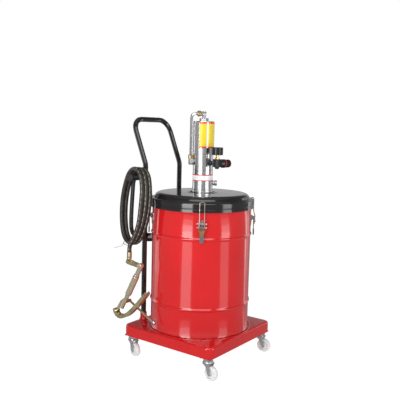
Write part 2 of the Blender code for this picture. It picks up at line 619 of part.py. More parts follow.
def make_gauge(frame, brass, black, glass, signal):
    """The pressure gauge standing on its stem, its dial facing up."""
    stem = [(0.0, REG_TOP + GAP), (0.0085, REG_TOP + GAP), (0.0085, REG_TOP + 0.0050),
            (0.0055, REG_TOP + 0.0055), (0.0055, GAUGE_LOW - GAP), (0.0, GAUGE_LOW - GAP)]
    turned("gauge_stem", stem, brass, frame, sides=12)
    r = GAUGE_RADIUS
    dial = GAUGE_TOP - 0.0050
    cup = [(0.0, GAUGE_LOW), (r - 0.0015, GAUGE_LOW), (r, GAUGE_LOW + 0.0015), (r, GAUGE_TOP - 0.0010),
           (r - 0.0010, GAUGE_TOP), (r - 0.0025, GAUGE_TOP), (r - 0.0025, dial), (0.0, dial)]
    turned("gauge_case", cup, black, frame, sides=32)
    outline = [(-0.0040, -0.0010), (0.0130, -0.0004), (0.0130, 0.0004), (-0.0040, 0.0010)]
    needle = prism_mesh("gauge_needle", outline, 0.0, 0.0008)
    turn = Matrix.Rotation(radians(NEEDLE_ANGLE), 4, "Z")
    add_object("gauge_needle", needle, signal, frame, (0, 0, dial + 0.0006), turn)
    pane = [(0.0, GAUGE_TOP - 0.0024), (r - 0.0028, GAUGE_TOP - 0.0024), (r - 0.0028, GAUGE_TOP - 0.0012),
            (0.0, GAUGE_TOP - 0.0006)]
    turned("gauge_glass", pane, glass, frame, sides=32)


# ---------------------------------------------------------------- handle
def make_handle(root, black):
    x, y, z = HANDLE_HALF, HANDLE_Y, DECK_TOP + 0.0015
    top_y, top_z = HANDLE_TOP
    corners = [Vector((-x, y, z)), Vector((-x, y, HANDLE_BEND_Z)), Vector((-x, top_y, top_z)),
               Vector((x, top_y, top_z)), Vector((x, y, HANDLE_BEND_Z)), Vector((x, y, z))]
    tube("push_handle", bent_points(corners, HANDLE_CORNER, 6), HANDLE_TUBE, black, root, 3)
    for side, sx in (("left", -1), ("right", 1)):
        leg = Vector((sx * x, y, BRACE_Z))
        clamp = turned(f"handle_brace_{side}", [(HANDLE_TUBE + GAP, -0.009), (0.0125, -0.009),
                                               (0.0125, 0.009), (HANDLE_TUBE + GAP, 0.009)],
                       black, root, leg, sides=SMALL)
        inward = Vector((-leg.x, -leg.y, 0.0)).normalized()
        far = Vector((leg.x, leg.y, 0)).length - DRUM_RADIUS - 0.0008
        arm = prism_mesh("brace_arm", [(0.0115, -0.002), (far - 0.0025, -0.002), (far - 0.0025, -0.011),
                                       (far, -0.011), (far, 0.002), (0.0115, 0.002)], -0.009, 0.009)
        turn = Matrix.Rotation(atan2(inward.y, inward.x), 4, "Z")
        combine(clamp, guide(f"brace_arm_{side}", arm, root, leg, turn), "UNION")


def make_hanger(root, black):
    leg = Vector((-HANDLE_HALF, HANDLE_Y, HANGER_Z))
    out = polar(1, HANGER_ANGLE, 0)
    ring = turned("hose_hanger", [(HANDLE_TUBE + GAP, -0.014), (0.0130, -0.014), (0.0130, 0.014),
                                  (HANDLE_TUBE + GAP, 0.014)], black, root, leg, sides=SMALL)
    arm = turned_mesh("hanger_arm", [(0.0, 0.0115), (HANGER_RADIUS - 0.0015, 0.0115), (HANGER_RADIUS, 0.0130),
                                     (HANGER_RADIUS, HANGER_END - 0.002),
                                     (HANGER_RADIUS - 0.002, HANGER_END), (0.0, HANGER_END)], 16)
    combine(ring, guide("hanger_arm", arm, root, leg, along(out)), "UNION")


# ---------------------------------------------------------------- hose
def coil_frame():
    """The coil's centre and its across, up and normal directions."""
    up = (COIL_TOP - COIL_FOOT).normalized()
    across = (COIL_ACROSS - up * COIL_ACROSS.dot(up)).normalized()
    return (COIL_TOP + COIL_FOOT) / 2, across, up, across.cross(up)


def coil_outline(offset, steps=8):
    """A four-arc oval in (across, up): tight arcs at top and foot, long flat ones at the sides."""
    half_height = (COIL_TOP - COIL_FOOT).length / 2
    rise = half_height - COIL_END_RADIUS
    side = ((COIL_HALF_WIDTH ** 2 + rise ** 2 - COIL_END_RADIUS ** 2)
            / (2 * (COIL_HALF_WIDTH - COIL_END_RADIUS)))
    meet = asin(rise / (side - COIL_END_RADIUS))
    arcs = [((COIL_HALF_WIDTH - side, 0.0), side, -meet, meet),
            ((0.0, rise), COIL_END_RADIUS, meet, pi - meet),
            ((side - COIL_HALF_WIDTH, 0.0), side, pi - meet, pi + meet),
            ((0.0, -rise), COIL_END_RADIUS, pi + meet, 2 * pi - meet)]
    points = []
    for (x, y), radius, first, last in arcs:
        for i in range(steps):
            a = first + (last - first) * i / steps
            points.append((x + (radius + offset) * cos(a), y + (radius + offset) * sin(a)))
    return points


def make_coil(root, rubber):
    """The coil's turns as one oval ring, stepped at the foot where the tail leaves it."""
    centre, across, up, normal = coil_frame()
    rise = (COIL_TOP - COIL_FOOT).length
    frame = Matrix((across, up, normal)).transposed().to_4x4()
    radius = HOSE_RADIUS + 0.0004
    depth = COIL_PITCH * (COIL_TURNS - 1) / 2 + radius
    coil = add_object("hose_coil", prism_mesh("hose_coil", coil_outline(radius), -depth, depth), rubber, root,
                      centre, frame)
    hollow = prism_mesh("coil_hollow", coil_outline(-radius), -depth - 0.01, depth + 0.01)
    combine(coil, guide("coil_hollow", hollow, root, centre, frame), "DIFFERENCE")
    edge = COIL_HALF_WIDTH + 0.02
    notch_outline = [(-edge, -rise), (-0.005, -rise), (-0.005, -0.0345), (-edge, -0.0345)]
    notch = prism_mesh("coil_notch", notch_outline, -depth - 0.01, -COIL_PITCH / 2 - GAP)
    combine(coil, guide("coil_notch", notch, root, centre, frame), "DIFFERENCE")


def hose_feed_route():
    """From the outlet union, down behind the drum and up to the coil's back side."""
    out = polar(1, OUTLET_ANGLE, 0)
    start = out * (PUMP_RADIUS + OUTLET_REACH + 2 * GAP) + Vector((0, 0, OUTLET_Z))
    return [start, start + out * 0.030, start + out * 0.070 - Vector((0, 0, 0.0030)),
            start + out * 0.112 - Vector((0, 0, 0.0200)), start + out * 0.142 - Vector((0, 0, 0.0620)),
            Vector((0.1400, 0.1760, 0.5050)), Vector((0.1180, 0.2020, 0.4520)),
            Vector((0.0780, 0.2170, 0.4130)), Vector((0.0300, 0.2230, 0.3960)),
            Vector((-0.0250, 0.2250, 0.3950)), Vector((-0.0760, 0.2270, 0.4110)),
            Vector((-0.1150, 0.2310, 0.4450))]


def hose_tail_route():
    """From the coil's front outer strand, down to the gun's swivel."""
    centre, across, up, normal = coil_frame()
    outer = centre - across * COIL_HALF_WIDTH - normal * COIL_PITCH
    top = GUN_HOSE_END + Vector((0, 0, 2 * GAP))
    return [outer - up * 0.0370 + across * 0.0032, outer - up * 0.0760 + across * 0.0139,
            Vector((-0.2036, 0.1390, 0.4350)), top + Vector((0, 0, 0.0200)), top]


def make_hose(root, rubber):
    make_coil(root, rubber)
    tube("hose_feed", smooth_points(hose_feed_route(), 0.030), HOSE_RADIUS, rubber, root)
    tube("hose_tail", smooth_points(hose_tail_route(), 0.018), HOSE_RADIUS, rubber, root)


# ---------------------------------------------------------------- control gun
def band_outline(points, widths):
    """A strip of varying half width along a centre line of (y, z) points."""
    left, right = [], []
    for i, (y, z) in enumerate(points):
        y0, z0 = points[max(0, i - 1)]
        y1, z1 = points[min(len(points) - 1, i + 1)]
        length = sqrt((y1 - y0) ** 2 + (z1 - z0) ** 2)
        ny, nz = -(z1 - z0) / length, (y1 - y0) / length
        left.append((y + ny * widths[i], z + nz * widths[i]))
        right.append((y - ny * widths[i], z - nz * widths[i]))
    return left + right[::-1]


def trigger_line():
    """Centre line of the trigger from its pivot round to its tip, relative to the pivot."""
    route = [Vector((0.0050, 0.0080, 0)), Vector((0.0010, -0.0060, 0)), Vector((-0.0140, -0.0160, 0)),
             Vector((-0.0330, -0.0140, 0)), Vector((-0.0600, 0.0010, 0)), Vector((-0.0910, 0.0300, 0)),
             Vector((-0.1205, 0.0620, 0)), Vector((-0.1460, 0.0920, 0))]
    return [(p.x, p.y) for p in smooth_points(route, 0.011)]


def make_gun(root, chrome, steel):
    """The hose end, the Z-swivel, and the lever-operated control gun that hangs from it."""
    down = (GUN_ELBOW - GUN_HOSE_END).normalized()
    length = (GUN_ELBOW - GUN_HOSE_END).length
    ferrule = [(0.0, 0.0), (0.0088, 0.0), (0.0088, 0.0170), (0.0075, 0.0175), (0.0085, 0.0185),
               (0.0085, length - 0.0103), (0.0, length - 0.0103)]
    turned("hose_ferrule", ferrule, chrome, root, GUN_HOSE_END, down, sides=16)

    swivel_dir = (GUN_ARM_END - GUN_ELBOW).normalized()
    reach = (GUN_ARM_END - GUN_ELBOW).length
    turned("swivel_arm", [(0.0, -0.0105), (0.0085, -0.0090), (0.0098, -0.0040), (0.0098, 0.0160),
                          (0.0088, 0.0170), (0.0088, reach - 0.0140), (0.0, reach - 0.0140)],
           chrome, root, GUN_ELBOW, swivel_dir, sides=16)

    handle_dir = (GUN_HANDLE_FOOT - GUN_ARM_END).normalized()
    grip = (GUN_HANDLE_FOOT - GUN_ARM_END).length
    body = turned("gun_body", [(0.0, -0.0100), (0.0075, -0.0090), (0.0090, -0.0050), (0.0090, 0.0370),
                               (0.0070, 0.0385), (0.0070, 0.0440), (0.0118, 0.0460), (0.0118, grip - 0.0050),
                               (0.0085, grip), (0.0072, grip + 0.0200), (0.0072, grip + 0.0600),
                               (0.0, grip + 0.0620)], chrome, root, GUN_ARM_END, handle_dir, sides=16)
    neck = turned_mesh("gun_neck", [(0.0, 0.0), (0.0075, 0.0), (0.0075, 0.0135), (0.0, 0.0135)], 16)
    combine(body, guide("gun_neck", neck, root, GUN_ARM_END, along(-swivel_dir)), "UNION")
    plane = upright_plane()
    strap_line = [(0.1765, 0.2150), (GUN_STRAP_TOP.y, GUN_STRAP_TOP.z), (GUN_PIVOT.y, GUN_PIVOT.z),
                  (GUN_PIVOT.y + 0.0030, GUN_PIVOT.z - 0.0050)]
    strap = prism_mesh("gun_strap", band_outline(strap_line, [0.0042] * 4), -0.0035, 0.0035)
    combine(body, guide("gun_strap", strap, root, (GUN_X, 0, 0), plane), "UNION")
    half_pin = [(0.0022, 0.0100), (0.0045, 0.0100), (0.0045, 0.0125), (0.0, 0.0125)]
    pin = turned_mesh("trigger_pin", [(radius, -z) for radius, z in reversed(half_pin)] + half_pin, 12)
    combine(body, guide("trigger_pin", pin, root, GUN_PIVOT, along((1, 0, 0))), "UNION")

    line = trigger_line()
    widths = [0.0062] + [0.0066] * (len(line) - 2) + [0.0045]
    channel = channel_mesh("gun_trigger", line, widths)
    trigger = add_object("gun_trigger", channel, steel, root, GUN_PIVOT, plane)
    bore = turned_mesh("trigger_bore", [(0.0, -0.02), (0.0025, -0.02), (0.0025, 0.02), (0.0, 0.02)], 12)
    combine(trigger, guide("trigger_bore", bore, root, GUN_PIVOT, along((1, 0, 0))), "DIFFERENCE")


def make_nozzle(root, steel):
    """The side port's elbow and pipe, and the coupler at its tip."""
    elbow = turned("nozzle_elbow", [(0.0, 0.0076), (0.0062, 0.0076), (0.0062, PORT_REACH),
                                    (0.0045, PORT_REACH + 0.0035), (0.0, PORT_REACH + 0.0035)],
                   steel, root, GUN_PORT, (1, 0, 0), sides=12)
    knee = GUN_PORT + Vector((PORT_REACH - 0.003, 0, 0))
    direction = (NOZZLE_TIP - knee).normalized()
    pipe_outline = [(0.0, 0.0), (0.0040, 0.0), (0.0040, NOZZLE_PIPE), (0.0, NOZZLE_PIPE)]
    pipe = turned_mesh("nozzle_pipe", pipe_outline, 12)
    combine(elbow, guide("nozzle_pipe", pipe, root, knee, along(direction)), "UNION")
    tip = [(0.0, 0.0), (0.0055, 0.0), (0.0065, 0.0020), (0.0065, 0.0120), (0.0040, 0.0190), (0.0, 0.0190)]
    turned("nozzle_coupler", tip, steel, root, knee + direction * (NOZZLE_PIPE + GAP), direction, sides=12)


def channel_mesh(name, line, widths):
    """A folded U channel along a plane centre line, open on the line's right-hand side."""
    bm = bmesh.new()
    rings = []
    v, t = TRIGGER_HALF, TRIGGER_SHEET
    for i, (y, z) in enumerate(line):
        y0, z0 = line[max(0, i - 1)]
        y1, z1 = line[min(len(line) - 1, i + 1)]
        length = sqrt((y1 - y0) ** 2 + (z1 - z0) ** 2)
        ny, nz = (z1 - z0) / length, -(y1 - y0) / length
        w = widths[i]
        section = [(-w, -v), (-w, v), (w, v), (w, v - t), (t - w, v - t), (t - w, t - v), (w, t - v), (w, -v)]
        rings.append([bm.verts.new((y + ny * u, z + nz * u, across)) for u, across in section])
    for low, high in zip(rings, rings[1:]):
        for k in range(8):
            m = (k + 1) % 8
            bm.faces.new((low[k], low[m], high[m], high[k]))
    bm.faces.new(rings[0][::-1])
    bm.faces.new(rings[-1])
    return finish_mesh(name, bm)


# ---------------------------------------------------------------- assembly
def main():
    clear_scene()
    red = material("red_paint", (0.72, 0.015, 0.02), 0.25, 0.0)
    black = material("black_paint", (0.015, 0.015, 0.016), 0.3, 0.0)
    chrome = material("chrome", (0.82, 0.82, 0.84), 0.12, 1.0)
    steel = material("zinc_steel", (0.62, 0.62, 0.64), 0.35, 1.0)
    brass = material("brass", (0.78, 0.58, 0.28), 0.3, 1.0)
    rubber = material("hose_rubber", (0.03, 0.028, 0.027), 0.6, 0.0)
    nylon = material("wheel_plastic", (0.82, 0.81, 0.79), 0.4, 0.0)
    moulded = material("black_plastic", (0.02, 0.02, 0.02), 0.45, 0.0)
    glass = material("gauge_glass", (0.9, 0.95, 0.95), 0.05, 0.0)
    signal = material("signal_red", (0.75, 0.03, 0.03), 0.4, 0.0)

    root = empty("axis", None, AXIS)
    make_deck(root, red)
    for side, sx, sy in (("front_left", -1, 1), ("front_right", -1, -1), ("rear_right", 1, -1),
                         ("rear_left", 1, 1)):
        make_caster(side, sx * CASTER_PITCH, sy * CASTER_PITCH + DECK_SHIFT_Y, root, steel, nylon)
    make_drum(root, red)
    make_lid(root, black, rubber)
    for side in LATCH_ANGLES:
        make_latch(side, root, steel)
    make_pump(root, chrome)
    make_suction(root, steel)
    make_outlets(root, chrome, steel)
    make_air_line(root, chrome, steel, brass)
    make_gauge(make_regulator(root, moulded), brass, moulded, glass, signal)
    make_handle(root, black)
    make_hanger(root, black)
    make_hose(root, rubber)
    make_gun(root, chrome, steel)
    make_nozzle(root, steel)


main()
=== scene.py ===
"""Looks for the air-operated oil pump on its castered drum trolley.

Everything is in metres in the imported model's frame: +Z up, the floor at Z = 0,
the drum, lid and pump on a vertical axis through AXIS.
"""
from math import asin, atan2, ceil, cos, pi, radians, sin

import bmesh
import bpy
from mathutils import Matrix, Vector


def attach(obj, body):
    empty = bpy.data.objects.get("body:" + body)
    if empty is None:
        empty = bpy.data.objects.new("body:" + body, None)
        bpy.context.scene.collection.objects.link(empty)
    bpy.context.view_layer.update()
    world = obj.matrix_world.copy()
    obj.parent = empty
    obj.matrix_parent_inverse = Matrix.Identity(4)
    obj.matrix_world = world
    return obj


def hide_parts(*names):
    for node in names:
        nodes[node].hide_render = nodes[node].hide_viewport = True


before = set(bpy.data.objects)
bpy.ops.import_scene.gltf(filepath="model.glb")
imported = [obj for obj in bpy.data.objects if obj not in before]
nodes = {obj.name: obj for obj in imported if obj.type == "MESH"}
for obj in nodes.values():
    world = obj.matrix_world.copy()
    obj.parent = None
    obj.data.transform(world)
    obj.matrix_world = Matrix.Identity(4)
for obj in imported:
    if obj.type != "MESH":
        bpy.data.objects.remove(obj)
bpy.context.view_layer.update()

AXIS = Vector((0.0037, -0.0274, 0.0))

# The same driving sizes as the CAD model, in the frame of the drum's axis.
DRUM_RADIUS = 0.175
DRUM_BOTTOM = 0.1153
DRUM_TOP = 0.5655
HOOP_HEIGHTS = (0.2128, 0.4515)
LID_RADIUS = 0.182
LID_BOTTOM = 0.5424
LID_RIM = 0.5735
LID_PLATEAU = 0.5923
PUMP_RADIUS = 0.0355
MOTOR_RADIUS = 0.0370
PUMP_JOINTS = (LID_PLATEAU, 0.6715, 0.7268, 0.8380)
LATCH_ANGLES = {"front": -143.3, "right": -53.3, "back": 36.7, "left": 126.7}
LATCH_PIVOT = 0.5065
LATCH_PIN = 0.4945
LATCH_STANDOFF = 0.0105
LATCH_FOOT = 0.444
DECK_TOP = 0.115
DECK_BOTTOM = 0.0772
CASTER_PITCH = 0.166
DECK_SHIFT_Y = 0.003
CASTER_ANGLES = {"front_left": -103.5, "front_right": -93.5, "rear_right": -77.5, "rear_left": -95.0}
CASTER_PLACES = {"front_left": (-1, 1), "front_right": (-1, -1), "rear_right": (1, -1), "rear_left": (1, 1)}
AIR_LINE_ANGLE = 146.0
REG_ANGLE = -106.0
REG_REACH = 0.078
REG_HALF = 0.0130
REG_Z = 0.697
REG_TOP = 0.7125
BONNET_END = 0.0320
KNOB_END = 0.0550
KNOB_RADIUS = 0.0138
GAUGE_RADIUS = 0.0198
GAUGE_LOW = 0.7265
GAUGE_TOP = 0.7525
GAUGE_DIAL = 0.7475
OUTLET_ANGLE = 46.0
OUTLET_Z = 0.6250
CAMERA_ANGLE = -143.8            # direction from the drum axis towards the camera

HOSE_RADIUS = 0.0075
COIL_TOP = Vector((-0.157, 0.162, 0.6708))
COIL_FOOT = Vector((-0.1725, 0.1836, 0.4092))
COIL_ACROSS = Vector((0.329, 0.944, 0.0)).normalized()
COIL_HALF_WIDTH = 0.0776
COIL_END_RADIUS = 0.0605
COIL_PITCH = 0.0155
GUN_X = -0.198
GUN_HOSE_END = Vector((GUN_X, 0.1620, 0.3830))
GAP = 0.0003


# ---------------------------------------------------------------- camera
def make_camera():
    data = bpy.data.cameras.new("camera")
    camera = bpy.data.objects.new("camera", data)
    bpy.context.scene.collection.objects.link(camera)
    right = Vector((0.59530, -0.80311, 0.02524))
    up = Vector((0.08005, 0.09053, 0.99267))
    back = Vector((-0.79951, -0.58892, 0.11818))
    turn = Matrix((right, up, back)).transposed().to_4x4()
    eye = Vector((-1.6916, -1.2371, 0.8127)) + AXIS
    camera.matrix_world = Matrix.Translation(eye) @ turn
    data.sensor_width = 36.0
    data.lens = 53.57
    data.clip_end = 50.0
    bpy.context.scene.camera = camera


# ---------------------------------------------------------------- mesh helpers
def smooth_points(route, spacing):
    """Points along a Catmull-Rom curve through the route, about spacing apart."""
    points = [route[0]]
    for i in range(len(route) - 1):
        p1, p2 = route[i], route[i + 1]
        p0 = route[i - 1] if i else p1 * 2 - p2
        p3 = route[i + 2] if i + 2 < len(route) else p2 * 2 - p1
        steps = max(2, ceil((p2 - p1).length / spacing))
        for k in range(1, steps + 1):
            t = k / steps
            points.append(0.5 * (2 * p1 + (p2 - p0) * t + (2 * p0 - 5 * p1 + 4 * p2 - p3) * t * t
                                 + (3 * p1 - p0 - 3 * p2 + p3) * t ** 3))
    return points


def even_points(points, spacing):
    """The same polyline, resampled at one spacing."""
    lengths = [0.0]
    for a, b in zip(points, points[1:]):
        lengths.append(lengths[-1] + (b - a).length)
    count = max(2, round(lengths[-1] / spacing))
    out, k = [], 0
    for i in range(count + 1):
        target = lengths[-1] * i / count
        while k < len(points) - 2 and lengths[k + 1] < target:
            k += 1
        span = lengths[k + 1] - lengths[k]
        t = (target - lengths[k]) / span if span else 0.0
        out.append(points[k].lerp(points[k + 1], t))
    return out


def path_length(points):
    return sum((b - a).length for a, b in zip(points, points[1:]))


def add_piece(name, bm, mats, body, smooth=40.0, matrix=None):
    """A mesh object from a bmesh, in world metres, riding on a body."""
    mesh = bpy.data.meshes.new(name)
    if matrix is not None:
        bmesh.ops.transform(bm, matrix=matrix, verts=bm.verts)
    bmesh.ops.recalc_face_normals(bm, faces=bm.faces)
    bm.to_mesh(mesh)
    bm.free()
    mesh.shade_smooth()
    mesh.set_sharp_from_angle(angle=radians(smooth))
    for mat in mats if isinstance(mats, (list, tuple)) else [mats]:
        mesh.materials.append(mat)
    obj = bpy.data.objects.new(name, mesh)
    bpy.context.scene.collection.objects.link(obj)
    if body:
        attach(obj, body)
    return obj


def lathe(bm, profile, sides, start=0.0, sweep=2 * pi, material=0):
    """A profile of (radius, z) turned about Z; a part turn gives an open shell's wall."""
    whole = abs(sweep - 2 * pi) < 1e-6
    count = sides if whole else sides + 1
    rings = []
    for radius, z in profile:
        if radius < 1e-7:
            rings.append([bm.verts.new((0.0, 0.0, z))] * count)
        else:
            rings.append([bm.verts.new((radius * cos(start + sweep * k / sides),
                                        radius * sin(start + sweep * k / sides), z)) for k in range(count)])
    for low, high in zip(rings, rings[1:]):
        for k in range(count if whole else count - 1):
            m = (k + 1) % count
            corners = []
            for v in (low[k], low[m], high[m], high[k]):
                if v not in corners:
                    corners.append(v)
            if len(corners) > 2:
                face = bm.faces.new(corners)
                face.material_index = material
    return rings


def turned(name, profile, mats, body, place=(0, 0, 0), direction=(0, 0, 1), sides=48, smooth=40.0,
           closed=False):
    bm = bmesh.new()
    lathe(bm, list(profile) + ([profile[0]] if closed else []), sides)
    bmesh.ops.remove_doubles(bm, verts=bm.verts, dist=1e-7)
    matrix = Matrix.Translation(AXIS + Vector(place)) @ along(direction)
    return add_piece(name, bm, mats, body, smooth, matrix)


def along(direction):
    return Vector(direction).to_track_quat("Z", "Y").to_matrix().to_4x4()


def carried_frames(points):
    """Two crosswise directions at every point, carried along the line without twist."""
    tangents = [(b - a).normalized() for a, b in zip(points, points[1:])]
    frames = []
    side = tangents[0].orthogonal().normalized()
    for i in range(len(points)):
        tangent = (tangents[max(0, i - 1)] + tangents[min(i, len(tangents) - 1)]).normalized()
        side = (side - tangent * side.dot(tangent)).normalized()
        frames.append((side, tangent.cross(side)))
    return frames


def sweep_rings(bm, points, radius, angles):
    """Rings of vertices carried along the points without twist."""
    rings = []
    for point, (side, other) in zip(points, carried_frames(points)):
        rings.append([bm.verts.new(point + radius * (cos(a) * side + sin(a) * other)) for a in angles])
    return rings


def tube(name, points, radius, mats, body, sides=16, smooth=60.0):
    bm = bmesh.new()
    angles = [2 * pi * k / sides for k in range(sides)]
    rings = sweep_rings(bm, points, radius, angles)
    for low, high in zip(rings, rings[1:]):
        for k in range(sides):
            m = (k + 1) % sides
            bm.faces.new((low[k], low[m], high[m], high[k]))
    bm.faces.new(rings[0][::-1])
    bm.faces.new(rings[-1])
    return add_piece(name, bm, mats, body, smooth)


def prism(name, outline, low, high, mats, body, matrix=None, bevel=0.0, smooth=35.0):
    """An outline in XY between two heights, with rounded edges."""
    bm = bmesh.new()
    bottom = [bm.verts.new((x, y, low)) for x, y in outline]
    top = [bm.verts.new((x, y, high)) for x, y in outline]
    bm.faces.new(bottom[::-1])
    bm.faces.new(top)
    for k in range(len(outline)):
        m = (k + 1) % len(outline)
        bm.faces.new((bottom[k], bottom[m], top[m], top[k]))
    if bevel:
        edges = [e for e in bm.edges if e.calc_face_angle(0.0) > radians(50)]
        bmesh.ops.bevel(bm, geom=edges, offset=bevel, segments=2, affect="EDGES", profile=0.5)
    return add_piece(name, bm, mats, body, smooth, matrix)


def polar(radius, degrees_, z=0.0):
    a = radians(degrees_)
    return Vector((radius * cos(a), radius * sin(a), z))


# ---------------------------------------------------------------- materials
class Shader:
    """A Principled material with short ways to add procedural detail."""

    def __init__(self, name, colour, roughness, metallic=0.0, **sockets):
        self.mat = bpy.data.materials.new(name)
        self.mat.use_nodes = True
        self.tree = self.mat.node_tree
        self.bsdf = self.tree.nodes["Principled BSDF"]
        self.set("Base Color", (*colour, 1.0))
        self.set("Roughness", roughness)
        self.set("Metallic", metallic)
        for key, value in sockets.items():
            self.set(key.replace("_", " "), value)
        self.mat.diffuse_color = (*colour, 1.0)

    def set(self, socket, value):
        self.bsdf.inputs[socket].default_value = value

    def node(self, kind, **values):
        node = self.tree.nodes.new(kind)
        for key, value in values.items():
            node.inputs[key.replace("_", " ")].default_value = value
        return node

    def link(self, a, b):
        self.tree.links.new(a, b)

    def position(self, stretch=(1, 1, 1)):
        """Object coordinates in metres, stretched for grain or streaks."""
        coords = self.node("ShaderNodeTexCoord")
        mapping = self.node("ShaderNodeMapping", Scale=stretch)
        self.link(coords.outputs["Object"], mapping.inputs["Vector"])
        return mapping.outputs["Vector"]

    def noise(self, scale, detail=2.0, stretch=(1, 1, 1), roughness=0.5):
        noise = self.node("ShaderNodeTexNoise", Scale=scale, Detail=detail, Roughness=roughness)
        self.link(self.position(stretch), noise.inputs["Vector"])
        return noise.outputs["Fac"]

    def ramp(self, fac, stops):
        ramp = self.node("ShaderNodeValToRGB")
        elements = ramp.color_ramp.elements
        while len(elements) < len(stops):
            elements.new(0.5)
        for element, (place, colour) in zip(elements, stops):
            element.position = place
            element.color = (*colour, 1.0) if isinstance(colour, tuple) else (colour, colour, colour, 1.0)
        self.link(fac, ramp.inputs["Fac"])
        return ramp.outputs["Color"]

    def colour_from(self, fac, stops):
        self.link(self.ramp(fac, stops), self.bsdf.inputs["Base Color"])
        return self

    def roughness_from(self, fac, stops):
        self.link(self.ramp(fac, stops), self.bsdf.inputs["Roughness"])
        return self

    def bump(self, fac, strength, distance=0.001):
        bump = self.node("ShaderNodeBump", Strength=strength, Distance=distance)
        self.link(fac, bump.inputs["Height"])
        self.link(bump.outputs["Normal"], self.bsdf.inputs["Normal"])
        return self


def make_materials():
    m = {}
    red = Shader("red_enamel", (0.53, 0.007, 0.009), 0.14, Coat_Weight=0.7, Coat_Roughness=0.05)
    red.colour_from(red.noise(7.0, 3.0), [(0.3, (0.51, 0.006, 0.008)), (0.7, (0.56, 0.008, 0.010))])
    red.roughness_from(red.noise(30.0, 4.0), [(0.35, 0.12), (0.7, 0.17)])
    m["red"] = red.bump(red.noise(160.0, 2.0), 0.04, 0.0004).mat

    black = Shader("black_enamel", (0.012, 0.012, 0.013), 0.2, Coat_Weight=0.5, Coat_Roughness=0.06)
    black.colour_from(black.noise(9.0, 3.0), [(0.3, (0.009, 0.008, 0.008)), (0.7, (0.013, 0.011, 0.011))])
    black.roughness_from(black.noise(25.0, 4.0), [(0.35, 0.10), (0.7, 0.15)])
    m["black"] = black.bump(black.noise(180.0, 2.0), 0.06, 0.0004).mat

    steel = Shader("turned_steel", (0.72, 0.72, 0.73), 0.2, 1.0)
    steel.colour_from(steel.noise(40.0, 3.0, (1, 1, 12)),
                      [(0.3, (0.70, 0.70, 0.71)), (0.7, (0.78, 0.78, 0.79))])
    steel.roughness_from(steel.noise(30.0, 3.0, (1, 1, 4)), [(0.3, 0.22), (0.7, 0.25)])
    m["turned"] = steel.bump(steel.noise(18.0, 2.0), 0.02, 0.0002).mat

    chrome = Shader("chrome", (0.80, 0.80, 0.81), 0.1, 1.0)
    chrome.roughness_from(chrome.noise(80.0, 3.0), [(0.3, 0.14), (0.75, 0.22)])
    m["chrome"] = chrome.bump(chrome.noise(40.0, 2.0), 0.02, 0.0002).mat

    zinc = Shader("zinc_plate", (0.52, 0.51, 0.50), 0.30, 1.0)
    zinc.colour_from(zinc.noise(45.0, 4.0), [(0.3, (0.42, 0.41, 0.40)), (0.7, (0.62, 0.61, 0.60))])
    zinc.roughness_from(zinc.noise(110.0, 3.0), [(0.3, 0.25), (0.7, 0.42)])
    m["zinc"] = zinc.bump(zinc.noise(300.0, 2.0), 0.08, 0.0003).mat

    plate = Shader("bright_plate", (0.56, 0.56, 0.56), 0.32, 0.8)
    plate.colour_from(plate.noise(45.0, 4.0), [(0.3, (0.48, 0.48, 0.48)), (0.7, (0.62, 0.62, 0.62))])
    plate.roughness_from(plate.noise(110.0, 3.0), [(0.3, 0.28), (0.7, 0.42)])
    m["plate"] = plate.bump(plate.noise(90.0, 2.0), 0.03, 0.0003).mat

    olive = Shader("passivated_zinc", (0.62, 0.54, 0.34), 0.32, 0.85)
    olive.colour_from(olive.noise(38.0, 4.0), [(0.28, (0.40, 0.33, 0.18)), (0.5, (0.60, 0.51, 0.30)),
                                               (0.75, (0.74, 0.65, 0.45))])
    olive.roughness_from(olive.noise(90.0, 3.0), [(0.3, 0.20), (0.7, 0.34)])
    m["olive"] = olive.bump(olive.noise(80.0, 2.0), 0.04, 0.0003).mat

    pale = Shader("pale_zinc", (0.80, 0.74, 0.56), 0.27, 0.88)
    pale.colour_from(pale.noise(34.0, 4.0), [(0.28, (0.78, 0.70, 0.48)), (0.5, (0.86, 0.79, 0.58)),
                                             (0.75, (0.92, 0.88, 0.74))])
    pale.roughness_from(pale.noise(90.0, 3.0), [(0.3, 0.15), (0.7, 0.22)])
    m["pale"] = pale.bump(pale.noise(60.0, 2.0), 0.03, 0.0003).mat

    wire = Shader("wire_steel", (0.42, 0.36, 0.32), 0.35, 1.0)
    wire.colour_from(wire.noise(60.0, 4.0), [(0.3, (0.33, 0.27, 0.23)), (0.7, (0.56, 0.52, 0.48))])
    m["wire"] = wire.mat

    brass = Shader("brass", (0.72, 0.52, 0.24), 0.25, 1.0)
    brass.colour_from(brass.noise(70.0, 3.0), [(0.3, (0.62, 0.43, 0.18)), (0.7, (0.82, 0.62, 0.32))])
    brass.roughness_from(brass.noise(120.0, 3.0), [(0.3, 0.18), (0.7, 0.34)])
    m["brass"] = brass.bump(brass.noise(260.0), 0.06, 0.0003).mat

    rubber = Shader("hose_rubber", (0.022, 0.019, 0.017), 0.5)
    rubber.colour_from(rubber.noise(60.0, 4.0), [(0.3, (0.014, 0.012, 0.011)), (0.7, (0.040, 0.034, 0.029))])
    rubber.roughness_from(rubber.noise(90.0, 3.0), [(0.3, 0.38), (0.7, 0.60)])
    m["rubber"] = rubber.bump(rubber.noise(900.0, 2.0), 0.25, 0.0004).mat

    stripe = Shader("hose_stripe", (0.24, 0.205, 0.16), 0.6)
    stripe.colour_from(stripe.noise(200.0, 3.0), [(0.35, (0.14, 0.12, 0.09)), (0.65, (0.30, 0.26, 0.20))])
    m["stripe"] = stripe.mat

